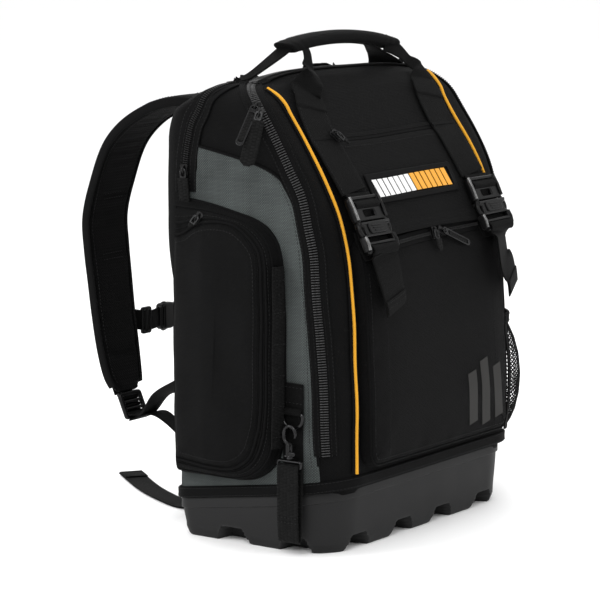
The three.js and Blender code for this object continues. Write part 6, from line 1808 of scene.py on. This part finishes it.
def shoulder_strap(side, name):
    path, up, width = strap_line(side)
    run, along = run_length(path), direction(path)
    end_round = np.sqrt(np.clip(run[-1] - run, 0, 9) / 9)
    half = width / 2 * (0.72 + 0.28 * end_round)
    base = sleeve(path, up, half - 1.0, STRAP_HALF * (0.5 + 0.5 * end_round), sides=36, square=0.42)

    def nearest(points):
        """For each point the nearest place on the path, how far aside and how far up it is."""
        spot = ((points[:, None, 1:] - path[None, :, 1:]) ** 2).sum(-1).argmin(1)
        return spot, points[:, 0] - path[spot, 0], ((points - path[spot]) * up[spot]).sum(-1)

    def held(points):
        spot, off, _ = nearest(points)
        return (np.abs(off) > half[spot] - 8) | (spot < 5) | (spot > len(path) - 5)

    points, faces, _ = inflated(base, held, 3.5)
    spot, off, lift = nearest(points)
    inner_side = lift < 0
    middle = np.clip(1 - (np.abs(off) / np.maximum(half[spot] - 4, 1)) ** 2, 0, 1)
    tacks = sum(bell(run[spot] - place, 5.0) for place in STRAP_TACKS)
    bend = np.gradient(np.unwrap(np.arctan2(np.gradient(path[:, 2]), np.gradient(path[:, 1]))), run)[spot]
    crease = 0.55 * np.sin(run[spot] * 0.42 + 0.03 * off) * np.clip(np.abs(bend) * 90, 0, 1) * inner_side
    press = np.where(inner_side, 1, -0.3) * (1.9 * tacks * middle) + crease * middle
    points = points + up[spot] * press[:, None]
    pad = make(f"shoulder_pad_mesh_{name}", (points, faces, None), AIR_MESH, f"shoulder_pad_{name}", soft=False)
    # the outer face's cloth
    normal, face_normal = normals_of(points, faces)
    spot, off, _ = nearest(np.array([points[list(f)].mean(0) for f in faces]))
    outer = ((face_normal * up[spot]).sum(-1) > 0.25) & (np.abs(off) < half[spot] - 0.5)
    make(f"shoulder_cover_{name}", skin(points, faces, normal, outer, 0.15, 0.8), BLACK_CLOTH, soft=False)
    for edge in (-1, 1):
        row = path[2:-3] + ALONG_X * edge * (half[2:-3] - 0.6)[:, None]
        bound = sleeve(row, up[2:-3], 1.7, STRAP_HALF * 0.92, sides=14, square=0.7)
        make(f"shoulder_binding_{name}_{'out' if edge * side > 0 else 'in'}", bound, BINDING, soft=False)
        inset, inset_up = path[3:-4] + ALONG_X * edge * (half[3:-4] - 4.5)[:, None], up[3:-4]
        stitch(inset + inset_up * (STRAP_HALF + 1.2), inset_up)
        stitch(inset - inset_up * (STRAP_HALF + 0.5), -inset_up)
    # webbing sewn down the outer face, tacked every few centimetres
    keep = run > 62
    web = path[keep] + up[keep] * (STRAP_HALF + 0.4 + 2.6 * ease((run[keep] - 62) / 30))[:, None]
    make(f"strap_webbing_{name}", ribbon(web, up[keep], 26, 1.8, cols=7), WEBBING, soft=False)
    # tacks: which face, where along, how far apart their two rows, half a row, its places and its lift
    for face, places, apart, reach, count, off in (
        (1, np.arange(104, run[-1] - 10, 52), 1.6, 11, 9, 4.9),
        (-1, STRAP_TACKS[:2], 3, 15, 12, 1.1),
    ):
        for place in places:
            k = int(np.argmin(np.abs(run - place)))
            middle = path[k] + face * up[k] * (STRAP_HALF + off)
            row = middle + ALONG_X * np.linspace(-reach, reach, count)[:, None]
            for shift_along in (-apart, apart):
                stitch(row + along[k] * shift_along, face * up[k])


LOCK_WIDE, LOCK_LONG = 37, 30


def ladder_lock(side, name):
    end, along, up = lock_place(side)
    middle = end + along * (LOCK_LONG / 2 + 0.3) - up * 2.5
    slots = [rounded(29, 4.6, 1, 0, y)[::-1] for y in (-8, 0, 8)]
    # the plate's y axis runs up the strap, so its lower end is at negative y
    shape = merged([
        plate([rounded(LOCK_WIDE, LOCK_LONG, 4), *slots], 5, 1.2),
        cross_bar(15, 0.4, 1.8, 10, -4, 3.4),
        cross_bar(15, 0.4, 1.8, 10, 4, 3.4),
        cross_bar(16, 0.8, 2.2, 10, -13.6, 4.6),
        shifted(plate([rounded(18, 12, 3, 0, -19.4)], 2.8, 0.9), z=3.4),
    ])
    shape = placed(shape, middle, ALONG_X, up)
    make(f"ladder_lock_frame_{name}", shape, NYLON, f"ladder_lock_{name}", soft=False)
    route = [(17, 1.0), (12, 0.6), (8, 1.6), (4, 6.6), (0, 2.0), (-4, 6.4), (-8, 2.0), (-14, 0.2)]
    path = threaded(route, 44, np.stack([ALONG_X, np.cross(up, ALONG_X), up]), middle)
    make(f"ladder_lock_threading_{name}", ribbon(path, up, 27.6, 1.6, cols=7), WEBBING, soft=False)


def square_to(tangent, across):
    """What of a direction is square to a path."""
    return unit(across - tangent * (across * tangent).sum(-1, keepdims=True))


def anchor_webbing(side, name):
    end, along, up = lock_place(side)
    start = end + along * (LOCK_LONG - 4.4) - up * 3.4
    foot = np.array([side * WIDTH * 0.41, DEPTH / 2 + 7.2, HEIGHT * 0.325])
    knee = start + (foot - start) * [0.5, 0.5, 0.62]
    path = curve_through(np.array([start, start + [0, -12, 1], knee, foot]), count=40)
    t = np.linspace(0, 1, len(path))[:, None]
    across = unit(ALONG_X + (np.array([0.4, 0, side * 0.9]) - ALONG_X) * 0.6 * t**2)
    tangent = direction(path)
    cloth = ribbon(path, unit(np.cross(square_to(tangent, across), tangent)), 26, 1.8, cols=7)
    make(f"anchor_webbing_cloth_{name}", cloth, WEBBING, f"anchor_webbing_{name}", soft=False)
    # the folded triangle of cloth that sews its foot into the back's edge
    outline = np.array([(128, 122), (156, 118), (166, 128), (166, 152), (140, 160)]) * [side, 1]
    wing = bent(plate([outline[::side]], 3.2, 1.1), lambda x, z, height: back_at(x, z, 1.9 + height))
    make(f"anchor_wing_{name}", outward(*wing), BLACK_CLOTH, soft=False)


TAIL_ROUTES = {
    -1: [(-100, 184, 108), (-97, 160, 90), (-88, 146, 48), (-78, 146, 16), (-74, 164, 2.4), (-66, 190, 2.2),
         (-33, 250, 2.2), (22, 324, 2.2)],
    1: [(100, 178, 90), (100, 160, 70), (100, 150, 42), (102, 156, 14), (105, 180, 2.2), (107, 214, 2.2),
        (111, 256, 2.2)],
}


def strap_tail(side, name):
    end, along, up = lock_place(side)
    start = end + along * (LOCK_LONG + 1.4) + up * 1.4
    path = curve_through(np.array([start, *TAIL_ROUTES[side]]), step=4)
    tangent = direction(path)
    flat = unit(tangent * [1, 1, 0])
    level = at_xyz(flat[:, 1], -flat[:, 0], 0)
    across = np.where(np.abs(tangent[:, 2:]) > 0.6, ALONG_X, level)
    square = square_to(tangent, unit(across * 0.3 + level * 0.7))
    for _ in range(4):
        before, after = np.roll(square, 1, axis=0), np.roll(square, -1, axis=0)
        before[0] = after[-1] = 0
        square = unit(square + before + after)
    ups = unit(np.cross(square, tangent))
    path[:, 2] = np.maximum(path[:, 2], 1.6)
    hem = slice(-9, -1)
    tail = ribbon(path, ups, 27, 1.8, cols=7, lift=-0.9)
    fold = ribbon(path[hem], ups[hem], 26.4, 1.6, cols=7, lift=1.0)
    make(f"strap_tail_cloth_{name}", [tail, fold], WEBBING, f"strap_tail_{name}", soft=False)
    for k in (-8, -3):
        stitch(path[k] + square[k] * np.linspace(-11, 11, 9)[:, None] + ups[k] * 2.8, ups[k])


def chest_strap():
    y, outer, inner = 248.0, 72, 17
    t = np.linspace(0, 1, 30)
    bow = np.sin(math.pi * t)
    for side, name in SIDES:
        path = at_xyz(side * (outer + (inner - outer) * t), y - 2 - 6 * bow, 203 - 4 * t - 3 * bow)
        cloth = ribbon(path, BACKWARDS, 22, 1.8, cols=7, lift=0.6)
        make(f"sternum_webbing_cloth_{name}", cloth, WEBBING, f"sternum_webbing_{name}", soft=False)
        slide = plate([rounded(16, 30, 3), *(rounded(3, 23, 0.8, x)[::-1] for x in (-3.6, 3.6))], 4.2, 1.1)
        slide = placed(slide, (side * 49, y - 8.2, 198.6), ALONG_X, BACKWARDS)
        make(f"sternum_slide_{name}", slide, NYLON, soft=False)
        path = np.array([(side * outer, y + 1, z) for z in (189, 203, 217)])
        loop = sleeve(path, BACKWARDS, 3.4, 4.6, sides=14)
        make(f"sternum_loop_{name}", loop, NYLON, soft=False)
    plug = plate([rounded(20, 27, 3, 9, 0), rounded(3, 22, 0.8, 14.6)[::-1]], 7, 1.4)
    house = plate([rounded(24, 30, 5, -9, 0), rounded(3, 22, 0.8, -16)[::-1]], 9, 2)
    ridge = shifted(plate([rounded(7, 16, 2, -8)], 1.6, 0.6), z=8.8)
    prongs = []
    for s in (-1, 1):
        prong = [(0, s * 6, 0), (-8, s * 12.5, 0.4), (-16, s * 14.6, 0.2), (-19, s * 11, 0)]
        prongs.append(shifted(cordlike(curve_through(prong, count=14), 2.2, 8), x=2, z=3.6))
    halves = placed(merged([plug, house, ridge, *prongs]), (0, y - 6, 198), ALONG_X, BACKWARDS)
    make("sternum_buckle_halves", halves, NYLON, "sternum_buckle", soft=False)


def strap_yoke():
    """Cloth over the roots of the straps, between the back pads and the top."""
    half, low, high, thick = 148, 412, 22, 3.0
    cloth = laid(lambda u, v, lift: back_at(u - half, low + v, GAP + lift), (2 * half, high), thick, step=6)
    make("strap_yoke", cloth, BLACK_CLOTH)
    x = np.linspace(6 - half, half - 6, 90)
    for z in (low + 4.5, low + 17.5):
        stitch(back_at(x, z, thick + 0.6), BACKWARDS)


for side, name in SIDES:
    shoulder_strap(side, name)
    ladder_lock(side, name)
    anchor_webbing(side, name)
    strap_tail(side, name)
chest_strap()
strap_yoke()


# Ring, hook and webbing loop beside the grey panel

RING_X, RING_Y, HOOK_X, HOOK_TOP, LOOP_TOP = -188.3, -58, -193.1, 138.5, 93.6


def hung(x, out, z):
    """Places in the plane in which the ring and the hook hang, off their middle and at heights."""
    return at_xyz(x, RING_Y + out, z)


def ring_tab():
    z = np.array([180, 176, 168, 160, 156, 153.5, 151.5, 149.5, 147.6, 147.4, 149, 151.6, 155.0])
    x = np.array([0, 0, 0, 0, 0, -0.4, -1.0, -2.2, -3.8, -5.4, -6.4, -6.6, -5.4]) - 184.6
    path = curve_through(hung(x, 0, z), count=40)
    ups = unit(np.cross(direction(path), BACKWARDS))
    if ups[0, 0] > 0:
        ups = -ups
    make("ring_tab_webbing", ribbon(path, ups, 23, 2.0, cols=6), WEBBING, "ring_tab")
    backing = hung(-184.0, 1.5, np.linspace(172, 66, 40))
    make("ring_backing", ribbon(backing, LEFTWARDS, 25, 1.6, cols=7), WEBBING)
    for level in (176, 160):
        stitch(hung(-187.2, np.linspace(-9.5, 9.5, 8), level), LEFTWARDS)


def d_ring():
    bow = np.array([(-10.5, 149), (-12.5, 146), (-10, 138), (0, 133), (10, 138), (12.5, 146), (10.5, 149)])
    wire = curve_through(hung(RING_X, *bow.T), count=36)
    bar = hung(RING_X, np.array([-11.0, 0, 11]), np.array([149, 149.2, 149]))
    make("d_ring_wire", [cordlike(wire, 1.95, 10), cordlike(bar, 1.8, 10)], STEEL, "d_ring")


def snap_hook():
    """Trigger hook: its bow, neck, swivel and foot."""
    bow = np.array([(-2.6, -22), (5.2, -18.6), (7.6, -12.5), (6.6, -6.0), (1.5, -2.2), (-4.6, -4.2), (-7.2, -9.8),
                    (-6.2, -13.6)])
    wire = curve_through(hung(HOOK_X, bow[:, 0], HOOK_TOP + bow[:, 1]), count=40)
    thick = np.interp(np.linspace(0, 1, 40), [0, 0.1, 0.6, 0.92, 1], [3.0, 2.5, 2.2, 2.0, 1.2])
    neck = np.array([(-20, 3.0), (-23, 3.6), (-26, 3.5), (-29, 3.2), (-31, 3.0), (-32.4, 2.4), (-33.2, 3.6),
                     (-35.2, 3.8), (-36.4, 2.6)])
    foot = plate([rounded(31, 9, 3, 0, 0), rounded(26, 4, 1, 0, -0.6)[::-1]], 5, 1.4)
    make("snap_hook_body", [
        cordlike(wire, thick, 10),
        cordlike(hung(HOOK_X, 0, HOOK_TOP + neck[:, 0]), neck[:, 1], 14),
        placed(foot, (HOOK_X - 2.5, RING_Y, HOOK_TOP - 41), BACKWARDS, ALONG_X),
    ], STEEL, "snap_hook")


def key_loop():
    """The loop of ribbed webbing through the hook's foot."""
    hoop = looped(np.array([(-3.2, -53.2), (-3.2, -25), (-3.2, -2), (-2.24, 1.9), (0, 2.4), (2.24, 1.9), (3.2, -2),
                            (3.0, -25), (2.56, -53.2), (1.2, -76), (-1.2, -76)]))
    path = curve_through(hung(hoop[:, 0] + HOOK_X, 0, hoop[:, 1] + LOOP_TOP), step=1.2)[:-1]
    out = unit(np.cross(direction(path, hoop=True), BACKWARDS))
    if (out * (path - path.mean(0)))[:, 0].sum() < 0:
        out = -out
    ribs = 1.3 + 0.5 * np.abs(np.sin(path[:, 2] * math.pi / 3.6)) * (path[:, 2] > 40)
    make("key_loop_webbing", ribbon(path, out, 26, ribs, cols=7, hoop=True), RIBBED, "key_loop")
    for level in (42, 37):
        stitch(hung(-198.4, np.linspace(-10.5, 10.5, 9), level), LEFTWARDS)


def snap_gate():
    """The gate's sprung lever with its thumb tab and pin."""
    lever = plate([rounded(4.4, 15, 2)], 2, 0.6)
    thumb = shifted(plate([rounded(8, 4.4, 1.6)], 2.6, 0.7), x=5, y=-4, z=-0.3)
    pin = cross_bar(3, 0, 1.0, 8, -6.4, 1)
    gate = placed(merged([lever, thumb, pin]), (-195.9, RING_Y, 112.5), FRONTWARDS, LEFTWARDS)
    make("snap_gate_lever", gate, STEEL, "snap_gate", body="gate", soft=False)


ring_tab()
d_ring()
snap_hook()
key_loop()
snap_gate()


# Stitches of every seam

def all_stitches():
    rows = []
    for path, up in STITCHES:
        fine = evenly(path, step=3.0)
        run, at = run_length(path), run_length(fine)
        rows.append((fine, unit(np.stack([np.interp(at, run, up[:, k]) for k in range(3)], -1))))
    # The stitches' lighter colour is a painted highlight.
    set_along("seam_stitches", STITCH_TREE, rows, THREAD_PAINTED_HIGHLIGHT, 4.0, (3.1, 0.7, 0.6), uneven=0.12)


all_stitches()
